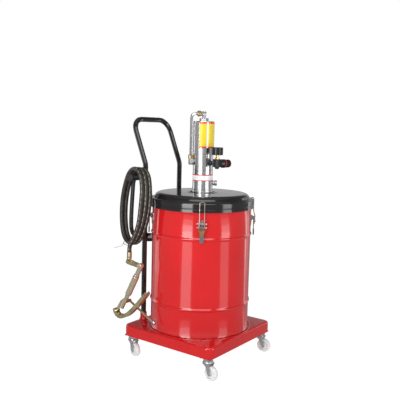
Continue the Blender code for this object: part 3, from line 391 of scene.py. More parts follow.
    plastic = Shader("wheel_plastic", (0.70, 0.70, 0.71), 0.32, Subsurface_Weight=0.2,
                     Subsurface_Scale=0.004)
    plastic.colour_from(plastic.noise(55.0, 4.0), [(0.3, (0.68, 0.68, 0.69)), (0.7, (0.74, 0.74, 0.75))])
    m["plastic"] = plastic.bump(plastic.noise(120.0, 2.0), 0.04, 0.0003).mat

    knob = Shader("moulded_black", (0.010, 0.010, 0.011), 0.25)
    knob.roughness_from(knob.noise(120.0, 3.0), [(0.3, 0.18), (0.7, 0.34)])
    m["moulded"] = knob.bump(knob.noise(700.0, 2.0), 0.2, 0.0003).mat

    yellow = Shader("label_yellow", (0.68, 0.51, 0.013), 0.35, Coat_Weight=0.3, Coat_Roughness=0.1)
    m["yellow"] = yellow.colour_from(yellow.noise(20.0, 3.0), [(0.3, (0.65, 0.48, 0.011)),
                                                             (0.7, (0.71, 0.54, 0.016))]).mat
    white = Shader("label_white", (0.82, 0.82, 0.82), 0.35, Coat_Weight=0.3, Coat_Roughness=0.1)
    m["white"] = white.colour_from(white.noise(20.0, 3.0),
                                   [(0.3, (0.78, 0.78, 0.78)), (0.7, (0.86, 0.86, 0.86))]).mat
    signal = Shader("label_red", (0.62, 0.01, 0.015), 0.35, Coat_Weight=0.3, Coat_Roughness=0.1)
    m["signal"] = signal.colour_from(signal.noise(20.0, 3.0), [(0.3, (0.56, 0.008, 0.012)),
                                                             (0.7, (0.68, 0.012, 0.018))]).mat
    # Dark paint for the tie, gauge ticks, hanger and joint lines; on the pump head's groove the same dark is
    # painted shade.
    dark = Shader("dark_paint_and_groove_shade", (0.02, 0.02, 0.02), 0.5)
    m["dark"] = dark.roughness_from(dark.noise(90.0), [(0.3, 0.4), (0.7, 0.6)]).mat
    grip = Shader("grey_grip", (0.09, 0.10, 0.11), 0.4)
    m["grip"] = grip.roughness_from(grip.noise(90.0), [(0.3, 0.32), (0.7, 0.5)]).mat
    m["glass"] = Shader("clear_glass", (0.95, 0.97, 0.97), 0.03, Transmission_Weight=1.0, IOR=1.45,
                        Alpha=0.35).mat
    return m


def paint(mat, names):
    for name in names:
        obj = nodes[name]
        obj.data.materials.clear()
        obj.data.materials.append(mat)


# ---------------------------------------------------------------- hose
def coil_frame():
    up = (COIL_TOP - COIL_FOOT).normalized()
    across = (COIL_ACROSS - up * COIL_ACROSS.dot(up)).normalized()
    return (COIL_TOP + COIL_FOOT) / 2, across, up, across.cross(up)


def hose_feed_route():
    """From the outlet union, down behind the drum and up to the coil's back side."""
    out = polar(1, OUTLET_ANGLE)
    start = out * (PUMP_RADIUS + 0.0290 + 2 * GAP) + Vector((0, 0, OUTLET_Z))
    return [start, start + out * 0.030, start + out * 0.070 - Vector((0, 0, 0.0030)),
            start + out * 0.112 - Vector((0, 0, 0.0200)), start + out * 0.142 - Vector((0, 0, 0.0620)),
            Vector((0.1400, 0.1760, 0.5050)), Vector((0.1180, 0.2020, 0.4520)),
            Vector((0.0780, 0.2170, 0.4130)), Vector((0.0300, 0.2230, 0.3960)),
            Vector((-0.0250, 0.2250, 0.3950)), Vector((-0.0760, 0.2270, 0.4110)),
            Vector((-0.1150, 0.2310, 0.4450))]


def coil_turn():
    """One turn of the coil in (across, up): a four-arc oval, starting at its +across side."""
    rise = (COIL_TOP - COIL_FOOT).length / 2 - COIL_END_RADIUS
    side = ((COIL_HALF_WIDTH ** 2 + rise ** 2 - COIL_END_RADIUS ** 2)
            / (2 * (COIL_HALF_WIDTH - COIL_END_RADIUS)))
    meet = asin(rise / (side - COIL_END_RADIUS))
    arcs = [(COIL_HALF_WIDTH - side, 0.0, side, 0.0, meet),
            (0.0, rise, COIL_END_RADIUS, meet, pi - meet),
            (side - COIL_HALF_WIDTH, 0.0, side, pi - meet, pi + meet),
            (0.0, -rise, COIL_END_RADIUS, pi + meet, 2 * pi - meet),
            (COIL_HALF_WIDTH - side, 0.0, side, -meet, 0.0)]
    points = []
    for x, y, radius, first, last in arcs:
        for k in range(16):
            a = first + (last - first) * k / 16
            points.append(Vector((x + radius * cos(a), y + radius * sin(a), 0.0)))
    return even_points(points + [points[0]], 0.012)[:-1]


def coil_route():
    """Two and a half turns, from the back strand to the front outer strand."""
    centre, across, up, normal = coil_frame()
    turn = coil_turn()
    half = len(turn) / 2
    points = []
    for i in range(round(0.20 * half), round(4.85 * half)):
        q = turn[i % len(turn)]
        shift = (1.5 - 0.5 * i / half) * COIL_PITCH
        points.append(centre + across * q.x + up * q.y + normal * shift)
    return points


def hose_tail_route():
    """From the coil's front outer strand, down to the gun's swivel."""
    centre, across, up, normal = coil_frame()
    outer = centre - across * COIL_HALF_WIDTH - normal * COIL_PITCH
    top = GUN_HOSE_END + Vector((0, 0, 2 * GAP))
    return [outer - up * 0.0370 + across * 0.0032, outer - up * 0.0760 + across * 0.0139,
            Vector((-0.2036, 0.1390, 0.4350)), top + Vector((0, 0, 0.0200)), top]


def make_hose(m):
    route = [p + AXIS for p in hose_feed_route() + coil_route() + hose_tail_route()]
    points = even_points(smooth_points(route, 0.004), 0.0060)
    for _ in range(6):
        inner = [(a + b * 2 + c) / 4 for a, b, c in zip(points, points[1:], points[2:])]
        points = [points[0]] + inner + [points[-1]]
    points = even_points(points, 0.0060)
    centre, across = coil_frame()[:2]
    near_side = centre - across * COIL_HALF_WIDTH + AXIS
    marked = min(range(len(points)), key=lambda i: (points[i] - near_side).length)
    side, other = carried_frames(points)[marked]
    view = polar(1, CAMERA_ANGLE)
    facing = atan2(view.dot(other), view.dot(side))
    stripe = radians(16)
    angles = [facing, facing + stripe] + [facing + stripe + (2 * pi - stripe) * k / 17 for k in range(1, 17)]
    bm = bmesh.new()
    rings = sweep_rings(bm, points, HOSE_RADIUS, angles)
    count = len(angles)
    for i, (low, high) in enumerate(zip(rings, rings[1:])):
        for k in range(count):
            n = (k + 1) % count
            face = bm.faces.new((low[k], low[n], high[n], high[k]))
            face.material_index = 1 if k == 0 and i % 3 != 0 else 0
    bm.faces.new(rings[0][::-1])
    bm.faces.new(rings[-1])
    hose = add_piece("oil_hose", bm, [m["rubber"], m["stripe"]], "trolley", 60.0)
    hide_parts("hose_feed", "hose_coil", "hose_tail")
    length = path_length(points)
    print("HOSE LENGTH", round(length, 4))
    return hose, points, length


def make_hose_tie(m):
    """A wire tie round the strands at the coil's foot, with its free ends."""
    up, normal = coil_frame()[2:]
    foot = COIL_FOOT + AXIS
    loop = []
    for k in range(25):
        a = 2 * pi * k / 24
        loop.append(foot + normal * (0.0250 * cos(a)) + up * (0.0094 * sin(a)) - normal * 0.0010)
    tail = [loop[0], foot - normal * 0.030 - up * 0.010, foot - normal * 0.044 - up * 0.014,
            foot - normal * 0.060 - up * 0.019]
    pieces = [tube("hose_tie", loop, 0.0010, m["dark"], "trolley", 6),
              tube("hose_tie_end", smooth_points([loop[12]] + tail[1:], 0.006), 0.0007, m["dark"],
                   "trolley", 6)]
    return pieces


def make_gun_details(m):
    """Bright sleeves on the gun's knuckle and grip, and the hanging eye at its lower end."""
    top = Vector((GUN_X, 0.1085, 0.3400))
    foot = Vector((GUN_X, 0.1668, 0.2300))
    down = (foot - top).normalized()
    for k, (reach, radius, length, mat) in enumerate(((0.0372, 0.0100, 0.0062, m["chrome"]),
                                                      (0.1205, 0.0098, 0.0050, m["chrome"]))):
        sleeve = turned(f"gun_sleeve_{k}", [(radius - 0.004, 0.0), (radius, 0.0004),
                                            (radius, length - 0.0004),
                                            (radius - 0.004, length)], mat, "control_gun",
                        top + down * reach, down,
                        sides=32, closed=True)
    eye = [AXIS + Vector((GUN_X, 0.2150 + 0.0055 * cos(2 * pi * k / 16),
                          0.1430 + 0.0065 * sin(2 * pi * k / 16)))
           for k in range(17)]
    ring = tube("gun_eye", eye, 0.0012, m["pale"], "control_gun", 8)


# ---------------------------------------------------------------- drum, lid and trolley
def rounded(profile, radius, steps=4, closed=False):
    """The same 2-D polyline with each inner corner turned into an arc."""
    out = []
    count = len(profile)
    for i, point in enumerate(profile):
        p = Vector(point)
        if not closed and i in (0, count - 1):
            out.append((p.x, p.y))
            continue
        a = Vector(profile[i - 1]) - p
        b = Vector(profile[(i + 1) % count]) - p
        reach = min(radius, a.length * 0.45, b.length * 0.45)
        start, end = p + a.normalized() * reach, p + b.normalized() * reach
        for k in range(steps + 1):
            t = k / steps
            q = start.lerp(p, t).lerp(p.lerp(end, t), t)
            out.append((q.x, q.y))
    return out


def shell_profile(outer, thickness):
    """A closed profile: the outer line, and the same line moved inwards by the sheet."""
    inner = []
    for i, point in enumerate(outer):
        a = Vector(outer[max(0, i - 1)])
        b = Vector(outer[min(len(outer) - 1, i + 1)])
        d = (b - a).normalized()
        inner.append((point[0] - d.y * thickness, point[1] + d.x * thickness))
    return outer + inner[::-1]


def upright_plane():
    """Stands a flat outline up: its X across, its Y up, and its thickness outwards."""
    return Matrix(((0, 0, 1, 0), (1, 0, 0, 0), (0, 1, 0, 0), (0, 0, 0, 1)))


def make_drum(m):
    r = DRUM_RADIUS
    z0, z1 = DRUM_BOTTOM, DRUM_TOP
    outer = [(0.0, z0 + 0.006), (r - 0.008, z0 + 0.006), (r - 0.004, z0 + 0.0002), (r + 0.0008, z0 + 0.0002),
             (r + 0.0018, z0 + 0.0020), (r + 0.0008, z0 + 0.0040), (r, z0 + 0.0055)]
    for hoop in HOOP_HEIGHTS:
        steps = 12
        for k in range(steps + 1):
            t = k / steps
            bulge = 0.0035 * 0.5 * (1 - cos(2 * pi * t))
            outer.append((r + bulge, hoop - 0.0075 + 0.015 * t))
    outer += [(r, z1 - 0.006), (r + 0.0012, z1 - 0.0045), (r + 0.0016, z1 - 0.0020), (r, z1 - 0.0002),
              (r - 0.0020, z1 - 0.0012), (r - 0.0016, z1 - 0.006)]
    inner = [(r - 0.0016, HOOP_HEIGHTS[1] + 0.008), (r - 0.0016, z0 + 0.009), (r - 0.010, z0 + 0.0076),
             (0.0, z0 + 0.0076)]
    drum = turned("drum_body", outer + inner, m["red"], "trolley", sides=192, smooth=50)
    seam = prism("drum_seam", [(-0.0035, -0.0002), (-0.0022, 0.0005), (0.0022, 0.0005), (0.0035, -0.0002)],
                 DRUM_BOTTOM + 0.0060, LID_BOTTOM - 0.0005, m["red"], "trolley",
                 Matrix.Translation(AXIS) @ Matrix.Rotation(radians(96.0 - 90.0), 4, "Z")
                 @ Matrix.Translation((0, DRUM_RADIUS, 0)))
    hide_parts("drum_shell")
    outline = [(r - 0.0004, LATCH_PIVOT - 0.030), (r + 0.0018, LATCH_PIVOT - 0.030),
               (r + 0.0024, LATCH_PIVOT - 0.012), (r + LATCH_STANDOFF - 0.002, LATCH_PIVOT - 0.0042),
               (r + LATCH_STANDOFF + 0.0030, LATCH_PIVOT - 0.002),
               (r + LATCH_STANDOFF + 0.0030, LATCH_PIVOT + 0.0025),
               (r + LATCH_STANDOFF - 0.001, LATCH_PIVOT + 0.0042), (r - 0.0004, LATCH_PIVOT + 0.010)]
    upright = Matrix.Rotation(pi / 2, 4, "X")
    for name, angle in LATCH_ANGLES.items():
        turn = Matrix.Translation(AXIS) @ Matrix.Rotation(radians(angle), 4, "Z") @ upright
        for k, y in enumerate((-0.0044, 0.0032)):
            ear = prism(f"latch_ear_{name}_{k}", outline, y, y + 0.0012, m["zinc"], "trolley", turn)
        plate = [(-0.0065, LATCH_PIVOT - 0.030), (0.0065, LATCH_PIVOT - 0.030),
                 (0.0065, LATCH_PIVOT + 0.010),
                 (-0.0065, LATCH_PIVOT + 0.010)]
        stand = Matrix.Translation(AXIS) @ Matrix.Rotation(radians(angle), 4, "Z") @ upright_plane()
        base = prism(f"latch_plate_{name}", rounded(plate, 0.003, 3, True), r - 0.0004, r + 0.0014,
                     m["zinc"],
                     "trolley", stand)


def make_latch(name, m):
    """The lever: two cheeks and their pins, a plated tongue below, and a dark grip on its end."""
    angle = LATCH_ANGLES[name]
    body = f"latch_lever_{name}"
    out = DRUM_RADIUS + LATCH_STANDOFF
    stand = Matrix.Translation(AXIS) @ Matrix.Rotation(radians(angle), 4, "Z") @ upright_plane()
    foot, pivot, pin = LATCH_FOOT, LATCH_PIVOT, LATCH_PIN
    tongue = [(-0.0098, pin - 0.0085), (-0.0098, pin - 0.0120), (-0.0066, pin - 0.0200),
              (-0.0064, foot + 0.018),
              (0.0064, foot + 0.018), (0.0066, pin - 0.0200), (0.0098, pin - 0.0120), (0.0098, pin - 0.0085)]
    blade = prism(f"latch_tongue_{name}", tongue, out - 0.0011, out + 0.0011, m["brass"], body, stand,
                  bevel=0.0003)
    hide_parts(body)
    for k, sign in enumerate((-1, 1)):
        cheek = [(sign * 0.0085, pin - 0.0100), (sign * 0.0098, pin - 0.0100), (sign * 0.0112, pivot),
                 (sign * 0.0104, pivot + 0.0030), (sign * 0.0092, pivot + 0.0030)]
        strip = prism(f"latch_cheek_{name}_{k}", cheek, out - 0.0011, out + 0.0034, m["wire"], body, stand)
    grip = prism(f"latch_grip_{name}", rounded([(-0.0064, foot), (0.0064, foot), (0.0066, foot + 0.0205),
                                                (-0.0066, foot + 0.0205)], 0.0030, 4, True),
                 out - 0.0016, out + 0.0024, m["grip"], body, stand, bevel=0.0006)
    across = polar(1, angle + 90)
    for k, (z, radius, reach) in enumerate(((pivot, 0.0017, 0.0), (pin, 0.0014, 0.0042))):
        outline = [(0.0, -0.0165), (radius + 0.0010, -0.0165), (radius + 0.0010, -0.0140), (radius, -0.0138),
                   (radius, 0.0138), (radius + 0.0010, 0.0140), (radius + 0.0010, 0.0165), (0.0, 0.0165)]
        place = polar(out + reach, angle, z)
        rod = turned(f"latch_pin_{name}_{k}", outline, m["chrome"], body, place, across, sides=16, smooth=30)


def make_lid(m):
    r = LID_RADIUS
    rise = LID_PLATEAU
    skirt = [(r, LID_BOTTOM + 0.0001), (r, 0.5515), (r - 0.0011, 0.5522), (r - 0.0011, 0.5540), (r, 0.5547),
             (r, LID_RIM - 0.0040), (r - 0.0014, LID_RIM - 0.0012), (r - 0.0045, LID_RIM)]
    dome = [(r - 0.0080, LID_RIM + 0.0002), (r - 0.0105, LID_RIM + 0.0012), (r - 0.0135, LID_RIM + 0.0048),
            (r - 0.0170, LID_RIM + 0.0103), (r - 0.0210, LID_RIM + 0.0145), (r - 0.0262, LID_RIM + 0.0172),
            (r - 0.0320, rise - 0.0005), (r - 0.0380, rise - 0.0001), (0.0560, rise - 0.0001)]
    collar = [(0.0535, rise), (0.0515, rise + 0.0011), (0.0490, rise + 0.0015), (0.0460, rise + 0.0015),
              (0.0440, rise + 0.0010), (0.0425, rise), (0.0225, rise - 0.0001)]
    outer = rounded(skirt + dome, 0.003, 3) + collar
    lid = turned("lid_pressing", shell_profile(outer, 0.0015), m["black"], "trolley", sides=192, smooth=60,
                 closed=True)
    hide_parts("drum_lid")


def rounded_square(half, radius, steps=8):
    points = []
    for corner, (sx, sy) in enumerate(((1, 1), (-1, 1), (-1, -1), (1, -1))):
        for k in range(steps + 1):
            a = radians(90 * corner + 90 * k / steps)
            points.append((sx * (half - radius) + radius * cos(a), sy * (half - radius) + radius * sin(a)))
    return points


def make_deck(m):
    """The pressed tray: a skirt, a rounded top edge and a flat top; and the drum's ring."""
    half, corner = 0.192, 0.026
    top, bottom, edge, sheet = DECK_TOP, DECK_BOTTOM, 0.0075, 0.002
    loops = []
    levels = [(sheet, bottom + 0.0001), (0.0, bottom + 0.0001), (0.0, top - edge)]
    edge_turn = [radians(15 * k) for k in range(1, 7)]
    levels += [(edge * (1 - cos(t)), top - edge + edge * sin(t)) for t in edge_turn]
    for inset, z in levels:
        loops.append([(x, y, z) for x, y in rounded_square(half - inset, corner - inset)])
    inside = [(edge + 0.001, top - sheet), (sheet, top - edge), (sheet, bottom + 0.0010)]
    outer = loops
    inner = []
    for inset, z in inside:
        inner.append([(x, y, z) for x, y in rounded_square(half - inset, max(0.004, corner - inset))])
    bm = bmesh.new()
    rings = [[bm.verts.new(p) for p in loop] for loop in outer]
    under = [[bm.verts.new(p) for p in loop] for loop in inner]
    count = len(rings[0])
    for stack in (rings, under):
        for low, high in zip(stack, stack[1:]):
            for k in range(count):
                n = (k + 1) % count
                bm.faces.new((low[k], low[n], high[n], high[k]))
    bm.faces.new(rings[-1])
    bm.faces.new(under[0])
    for k in range(count):
        n = (k + 1) % count
        bm.faces.new((under[-1][k], under[-1][n], rings[0][n], rings[0][k]))
    shift = Matrix.Translation(AXIS + Vector((0, DECK_SHIFT_Y, 0)))
    deck = add_piece("deck_tray", bm, m["red"], "trolley", 35.0, shift)
    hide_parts("trolley_deck")
    half_turn = [pi * k / 6 for k in range(7)]
    bead = [(0.1825 + 0.003 * cos(t), top - 0.0004 + 0.0022 * sin(t)) for t in half_turn]
    ring = turned("deck_ring", bead, m["red"], "trolley", sides=160, smooth=80, closed=True)
    for side, sx in (("left", -1), ("right", 1)):
        profile = rounded([(0.0099, top - 0.001), (0.0150, top - 0.001), (0.0150, top + 0.0020),
                           (0.0122, top + 0.0040),
                           (0.0120, 0.1405), (0.0105, 0.1418), (0.0099, 0.1418)], 0.001, 2)
        socket = turned(f"socket_{side}", profile, m["red"], "trolley", (sx * 0.097, 0.1825, 0), sides=32,
                        closed=True)
    for name, (sx, sy) in CASTER_PLACES.items():
        make_caster_plate(name, sx * CASTER_PITCH, sy * CASTER_PITCH + DECK_SHIFT_Y, m)
        gusset = [(sx * (half - 0.0025), sy * (half - 0.080)), (sx * (half - 0.0025), sy * (half - 0.0230)),
                  (sx * (half - 0.0080), sy * (half - 0.0080)), (sx * (half - 0.0230), sy * (half - 0.0025)),
                  (sx * (half - 0.080), sy * (half - 0.0025))]
        web = prism(f"gusset_{name}", gusset, bottom + 0.0004, bottom + 0.0028, m["red"], "trolley", shift)


def make_caster_plate(name, x, y, m):
    """The caster's top plate under the deck, with its four bolts."""
    turn = Matrix.Translation(AXIS + Vector((x, y, 0)))
    plate = prism(f"caster_plate_{name}", rounded_square(0.0225, 0.005, 3), DECK_BOTTOM - 0.0016,
                  DECK_BOTTOM + 0.0002, m["zinc"], "trolley", turn)
    for k, (bx, by) in enumerate(((-1, -1), (1, -1), (1, 1), (-1, 1))):
        bolt(f"caster_bolt_{name}_{k}", (x + bx * 0.0175, y + by * 0.0175, DECK_BOTTOM - 0.0016),
             (0, 0, -1), 0.0038,
             0.0024, m["zinc"], "trolley")


def bolt(name, place, direction, radius, height, mat, body, sides=6):
    """A hexagon head with a chamfered top, on a washer."""
    bm = bmesh.new()
    lathe(bm, [(0.0, 0.0), (radius * 1.25, 0.0), (radius * 1.25, height * 0.2),
               (radius * 1.22, height * 0.26),
               (0.0, height * 0.26)], 20)
    head = bmesh.new()
    lathe(head, [(0.0, height * 0.26), (radius, height * 0.26), (radius, height * 0.85),
                 (radius * 0.84, height),
                 (0.0, height)], sides)
    mesh = bpy.data.meshes.new("head")
    head.to_mesh(mesh)
    head.free()
    bm.from_mesh(mesh)
    bpy.data.meshes.remove(mesh)
    piece = add_piece(name, bm, mat, body, 30.0, Matrix.Translation(AXIS + Vector(place)) @ along(direction))
    return piece


# ---------------------------------------------------------------- labels
def wrap(name, radius, start, end, low, high, mat):
    """A thin sticker wrapped round the pump, between two angles and two heights."""
    sides = max(6, round(abs(end - start) / 4))
    bm = bmesh.new()
    thick = 0.00022
    profile = [(radius + 0.00003, low), (radius + thick, low), (radius + thick, high),
               (radius + 0.00003, high),
               (radius + 0.00003, low)]
    rings = lathe(bm, profile, sides, radians(start), radians(end - start))
    if abs(end - start) < 359.9:
        for side in (0, -1):
            bm.faces.new([ring[side] for ring in rings[:4]])
    bmesh.ops.remove_doubles(bm, verts=bm.verts, dist=1e-7)
    piece = add_piece(name, bm, mat, "trolley", 30.0, Matrix.Translation(AXIS))
    return piece


def make_labels(m):
    left, right = CAMERA_ANGLE - 24.0, CAMERA_ANGLE + 92.0
    gap_start, gap_end = CAMERA_ANGLE + 17.0, CAMERA_ANGLE + 25.0
    low, high = 0.7484, 0.8372
    rim = 0.0052
    for name, a, b in (("near", left, gap_start), ("far", gap_end, right)):
        wrap(f"label_yellow_{name}", MOTOR_RADIUS, a, b, low + rim, high - rim, m["yellow"])
        wrap(f"label_foot_{name}", MOTOR_RADIUS, a, b, low, low + rim, m["signal"])
        wrap(f"label_head_{name}", MOTOR_RADIUS, a, b, high - rim, high, m["signal"])
    wrap("label_white_gap", MOTOR_RADIUS, gap_start, gap_end, low, high, m["white"])
    wrap("band_white", PUMP_RADIUS, 0, 360, 0.6360, 0.6525, m["white"])
    wrap("band_red_low", PUMP_RADIUS, 0, 360, 0.6325, 0.6360, m["signal"])
    wrap("band_red_high", PUMP_RADIUS, 0, 360, 0.6525, 0.6560, m["signal"])


# ---------------------------------------------------------------- pump details
def band(name, radius, low, high, mat, place=(0, 0, 0), direction=(0, 0, 1), body="trolley",
         depth=0.001):
    """A shallow ring standing slightly proud of a round surface."""
    outline = [(radius - depth, low), (radius, low), (radius, high), (radius - depth, high)]
    piece = turned(name, outline, mat, body, place, direction, sides=64, smooth=30, closed=True)
    return piece


def make_pump_details(m):
    for k, z in enumerate(PUMP_JOINTS[1:3]):
        band(f"joint_line_{k}", PUMP_RADIUS + 0.0003, z - 0.0006, z + 0.0003, m["dark"])
    band("motor_lip", MOTOR_RADIUS + 0.0006, PUMP_JOINTS[2] + 0.0002, PUMP_JOINTS[2] + 0.0022, m["turned"])
    # A dark ring painted round the pump head at its groove: painted shade in the groove, not a part.
    band("head_groove_painted_shade", PUMP_RADIUS + 0.0004, 0.6020, 0.6026, m["dark"])
    side = polar(1, AIR_LINE_ANGLE)
    hexagon = [(0.0, 0.0), (0.0098, 0.0), (0.0106, 0.0012), (0.0106, 0.0048), (0.0098, 0.0060),
               (0.0, 0.0060)]
    nut = turned("inlet_nut", hexagon, m["zinc"], "trolley",
                 side * (PUMP_RADIUS + 0.0004) + Vector((0, 0, 0.6975)), side,
                 sides=6, smooth=20)


def make_regulator(m):
    """The moulded regulator with its ribbed knob and red lock ring, and the gauge's printed dial."""
    out = polar(1, REG_ANGLE)
    tangent = polar(1, REG_ANGLE + 90)
    centre = out * REG_REACH + Vector((0, 0, REG_Z))
    turn = Matrix.Translation(AXIS + out * REG_REACH) @ Matrix.Rotation(radians(REG_ANGLE), 4, "Z")
    block = prism("regulator_block", rounded([(-REG_HALF, -REG_HALF), (REG_HALF, -REG_HALF),
                                              (REG_HALF, REG_HALF),
                                              (-REG_HALF, REG_HALF)], 0.008, 5, True),
                  REG_Z - 0.0115, REG_TOP - 0.0001, m["moulded"], "trolley", turn, bevel=0.0012)
    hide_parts("regulator_body")
    reach = REG_REACH - REG_HALF - PUMP_RADIUS
    pieces = [turned("regulator_nipple", [(0.0, 0.0), (0.0095, 0.0), (0.0095, 0.0060), (0.0070, 0.0068),
                                          (0.0070, reach + 0.001), (0.0, reach + 0.001)], m["moulded"],
                     "trolley",
                     out * (PUMP_RADIUS + GAP) + Vector((0, 0, REG_Z)), out, sides=24),
              turned("regulator_drain", rounded([(0.0, 0.6786), (0.0045, 0.6786), (0.0070, 0.6800),
                                                 (0.0070, 0.6835), (0.0090, 0.6842), (0.0090, 0.6880)],
                                                0.0008, 2) + [(0.0, 0.6880)],
                     m["moulded"], "trolley", out * REG_REACH, sides=24),
              turned("regulator_bonnet", [(0.0, REG_HALF - 0.001), (0.0118, REG_HALF - 0.001),
                                          (0.0124, REG_HALF + 0.0010), (0.0126, REG_HALF + 0.0030),
                                          (0.0147, REG_HALF + 0.0090), (0.0150, REG_HALF + 0.0105),
                                          (0.0150, BONNET_END - 0.0022), (0.0144, BONNET_END - 0.0012),
                                          (0.0, BONNET_END - 0.0012)], m["moulded"], "trolley", centre,
                     tangent)]
    band("lock_ring", 0.0151, BONNET_END - 0.0021, BONNET_END, m["signal"], centre, tangent,
         depth=0.004)
    outline = []
    for i in range(14 * 6):
        radius = KNOB_RADIUS if i % 6 in (0, 1, 2) else KNOB_RADIUS - 0.0008
        outline.append((radius * cos(2 * pi * i / 84), radius * sin(2 * pi * i / 84)))
    place = Matrix.Translation(AXIS + centre) @ along(tangent)
    knob = prism("knob_grip", outline, BONNET_END + 2 * GAP, KNOB_END - 0.0035, m["moulded"],
                 "regulator_knob", place,
                 smooth=25)
    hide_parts("regulator_knob")
    rim = KNOB_RADIUS
    cap = turned("knob_cap", [(rim - 0.0005, KNOB_END - 0.0040), (rim - 0.0007, KNOB_END - 0.0022),
                              (rim - 0.0018, KNOB_END - 0.0008), (rim - 0.0040, KNOB_END), (0.0, KNOB_END)],
                 m["moulded"], "regulator_knob", centre, tangent)

    r = GAUGE_RADIUS
    cup = rounded([(0.0, GAUGE_LOW), (r, GAUGE_LOW), (r, GAUGE_TOP), (r - 0.0025, GAUGE_TOP),
                   (r - 0.0025, GAUGE_DIAL)], 0.0016, 4) + [(0.0, GAUGE_DIAL)]
    case = turned("gauge_cup", cup, m["moulded"], "trolley", out * REG_REACH, sides=64)
    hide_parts("gauge_case")
    dial = turned("gauge_dial", [(0.0, GAUGE_DIAL + 0.0001), (r - 0.0030, GAUGE_DIAL + 0.0001),
                                 (r - 0.0030, GAUGE_DIAL + 0.0002), (0.0, GAUGE_DIAL + 0.0002)], m["white"],
                  "trolley", out * REG_REACH, sides=64)
    bm = bmesh.new()
    for k in range(28):
        a = radians(-45 - 10 * k)
        long = 0.0032 if k % 3 == 0 else 0.0018
        along_tick = Vector((cos(a), sin(a), 0))
        across_tick = Vector((-sin(a), cos(a), 0)) * (0.00032 if k % 3 == 0 else 0.00018)
        near, far = along_tick * (r - 0.0044 - long), along_tick * (r - 0.0044)
        corners = [near - across_tick, far - across_tick, far + across_tick, near + across_tick]
        bm.faces.new([bm.verts.new(c + Vector((0, 0, GAUGE_DIAL + 0.00025))) for c in corners])
    ticks = add_piece("gauge_ticks", bm, m["dark"], "trolley", 30.0, turn)


# ---------------------------------------------------------------- studio
def area_light(name, place, target, width, height, power, colour=(1, 1, 1)):
    data = bpy.data.lights.new(name, "AREA")
    data.shape = "RECTANGLE"
    data.size, data.size_y = width, height
    data.energy = power
    data.color = colour
    lamp = bpy.data.objects.new(name, data)
    bpy.context.scene.collection.objects.link(lamp)
    look = (Vector(place) - Vector(target)).to_track_quat("Z", "Y").to_matrix().to_4x4()
    lamp.matrix_world = Matrix.Translation(Vector(place)) @ look
    return lamp


def make_world():
    """White behind the object; in reflections a pale horizon, a dim middle sky and a lighter top."""
    world = bpy.data.worlds.new("studio")
    bpy.context.scene.world = world
    world.use_nodes = True
    tree = world.node_tree
    background = tree.nodes["Background"]
    background.inputs["Color"].default_value = (1.0, 1.0, 1.0, 1.0)
    background.inputs["Strength"].default_value = 1.0
    coords = tree.nodes.new("ShaderNodeTexCoord")
    split = tree.nodes.new("ShaderNodeSeparateXYZ")
    tree.links.new(coords.outputs["Generated"], split.inputs["Vector"])
    ramp = tree.nodes.new("ShaderNodeValToRGB")
    stops = ((0.30, 0.27), (0.49, 0.27), (0.53, 0.55), (0.60, 0.46), (0.68, 0.14), (0.88, 0.14), (1.0, 0.50))
    elements = ramp.color_ramp.elements
    while len(elements) < len(stops):
        elements.new(0.5)
    for element, (place, value) in zip(elements, stops):
        element.position = place
        element.color = (value, value, value, 1.0)
    half = tree.nodes.new("ShaderNodeMath")
    half.operation = "MULTIPLY_ADD"
    half.inputs[1].default_value = 0.5
    half.inputs[2].default_value = 0.5
    tree.links.new(split.outputs["Z"], half.inputs[0])
    tree.links.new(half.outputs["Value"], ramp.inputs["Fac"])
    lit = tree.nodes.new("ShaderNodeBackground")
    tree.links.new(ramp.outputs["Color"], lit.inputs["Color"])
    path = tree.nodes.new("ShaderNodeLightPath")
    mix = tree.nodes.new("ShaderNodeMixShader")
    tree.links.new(path.outputs["Is Camera Ray"], mix.inputs["Fac"])
    tree.links.new(lit.outputs["Background"], mix.inputs[1])
    tree.links.new(background.outputs["Background"], mix.inputs[2])
    tree.links.new(mix.outputs["Shader"], tree.nodes["World Output"].inputs["Surface"])


def soft_box(name, angle, distance, width, low, high, power):
    """A tall soft light standing round the object, fading out in three steps below its foot."""
    step = 0.14
    density = power / (width * (high - low))
    bands = [(low, high, 1.0), (low - step, low, 0.62), (low - 2 * step, low - step, 0.30),
             (low - 3 * step, low - 2 * step, 0.10)]
    for k, (foot, head, share) in enumerate(bands):
        middle = (foot + head) / 2
        area_light(f"{name}_{k}", polar(distance, angle, middle) + AXIS, AXIS + Vector((0, 0, middle)),
                   width, head - foot, density * share * width * (head - foot))


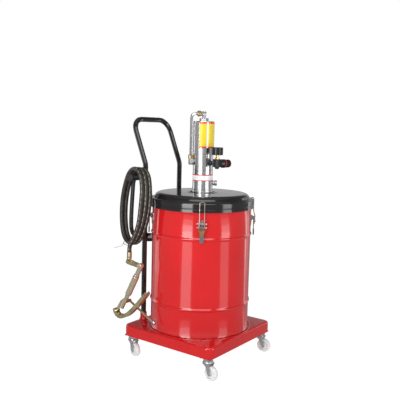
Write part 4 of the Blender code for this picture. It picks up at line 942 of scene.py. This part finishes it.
def make_studio():
    make_world()
    bm = bmesh.new()
    size = 12.0
    bm.faces.new([bm.verts.new((x, y, -0.0005)) for x, y in ((-size, -size), (size, -size), (size, size),
                                                            (-size, size))])
    floor = Shader("studio_floor", (0.20, 0.20, 0.20), 0.9)
    floor.set("Emission Color", (1.0, 1.0, 1.0, 1.0))
    floor.set("Emission Strength", 0.97)
    floor.set("Specular IOR Level", 0.0)
    floor.colour_from(floor.noise(0.8, 2.0), [(0.3, (0.195, 0.195, 0.195)), (0.7, (0.205, 0.205, 0.205))])
    ground = add_piece("studio_floor", bm, floor.mat, None)
    ground.visible_glossy = False
    soft_box("box_left", -173.0, 1.10, 0.42, 0.34, 1.25, 6.4)
    soft_box("box_right", -91.0, 1.10, 0.38, 0.34, 1.25, 3.4)
    soft_box("box_edge", -24.0, 1.20, 0.14, 0.10, 1.20, 0.5)
    soft_box("box_back_left", 100.0, 1.60, 0.60, 0.10, 1.30, 2.4)
    soft_box("box_back_right", -15.0, 1.60, 0.50, 0.10, 1.30, 0.9)
    area_light("box_top", AXIS + Vector((-1.2, -0.9, 2.0)), AXIS + Vector((0, 0, 0.35)), 1.8, 1.4, 19.0)
    bpy.context.scene.view_settings.view_transform = "Standard"


# ---------------------------------------------------------------- assembly
make_camera()
mats = make_materials()
make_studio()
hose, hose_points, hose_length = make_hose(mats)

make_drum(mats)
make_lid(mats)
for latch_side in LATCH_ANGLES:
    make_latch(latch_side, mats)
make_deck(mats)
make_labels(mats)
make_pump_details(mats)
make_regulator(mats)
paint(mats["black"], ["push_handle", "handle_brace_left", "handle_brace_right"])
paint(mats["dark"], ["hose_hanger"])
paint(mats["turned"], ["pump_head", "valve_housing", "motor_cylinder", "motor_cap"])
paint(mats["chrome"], ["air_tube", "top_elbow"])
paint(mats["pale"], ["gun_body"])
paint(mats["olive"], ["hose_ferrule", "swivel_arm"])
paint(mats["brass"], ["tube_nut_upper", "tube_nut_lower", "gauge_stem"])
paint(mats["zinc"], ["air_inlet_elbow", "top_nut", "outlet_union", "lid_nut", "suction_tube",
                     "foot_strainer",
                     "foot_valve_ball", "piston_rod", "nozzle_coupler"])
paint(mats["plate"], ["outlet_plug"] + [f"caster_fork_{s}" for s in CASTER_ANGLES])
paint(mats["olive"], ["gun_trigger", "nozzle_elbow"])
paint(mats["wire"], [f"latch_bail_{s}" for s in LATCH_ANGLES])
paint(mats["plastic"], [f"caster_wheel_{s}" for s in CASTER_ANGLES])
paint(mats["rubber"], ["lid_gasket"])
paint(mats["signal"], ["gauge_needle"])
paint(mats["glass"], ["gauge_glass"])

make_gun_details(mats)
gun_pieces = make_hose_tie(mats) + [nodes[n] for n in ("hose_ferrule", "swivel_arm", "gun_body",
                                                       "gun_trigger", "nozzle_elbow",
                                 "nozzle_coupler")]
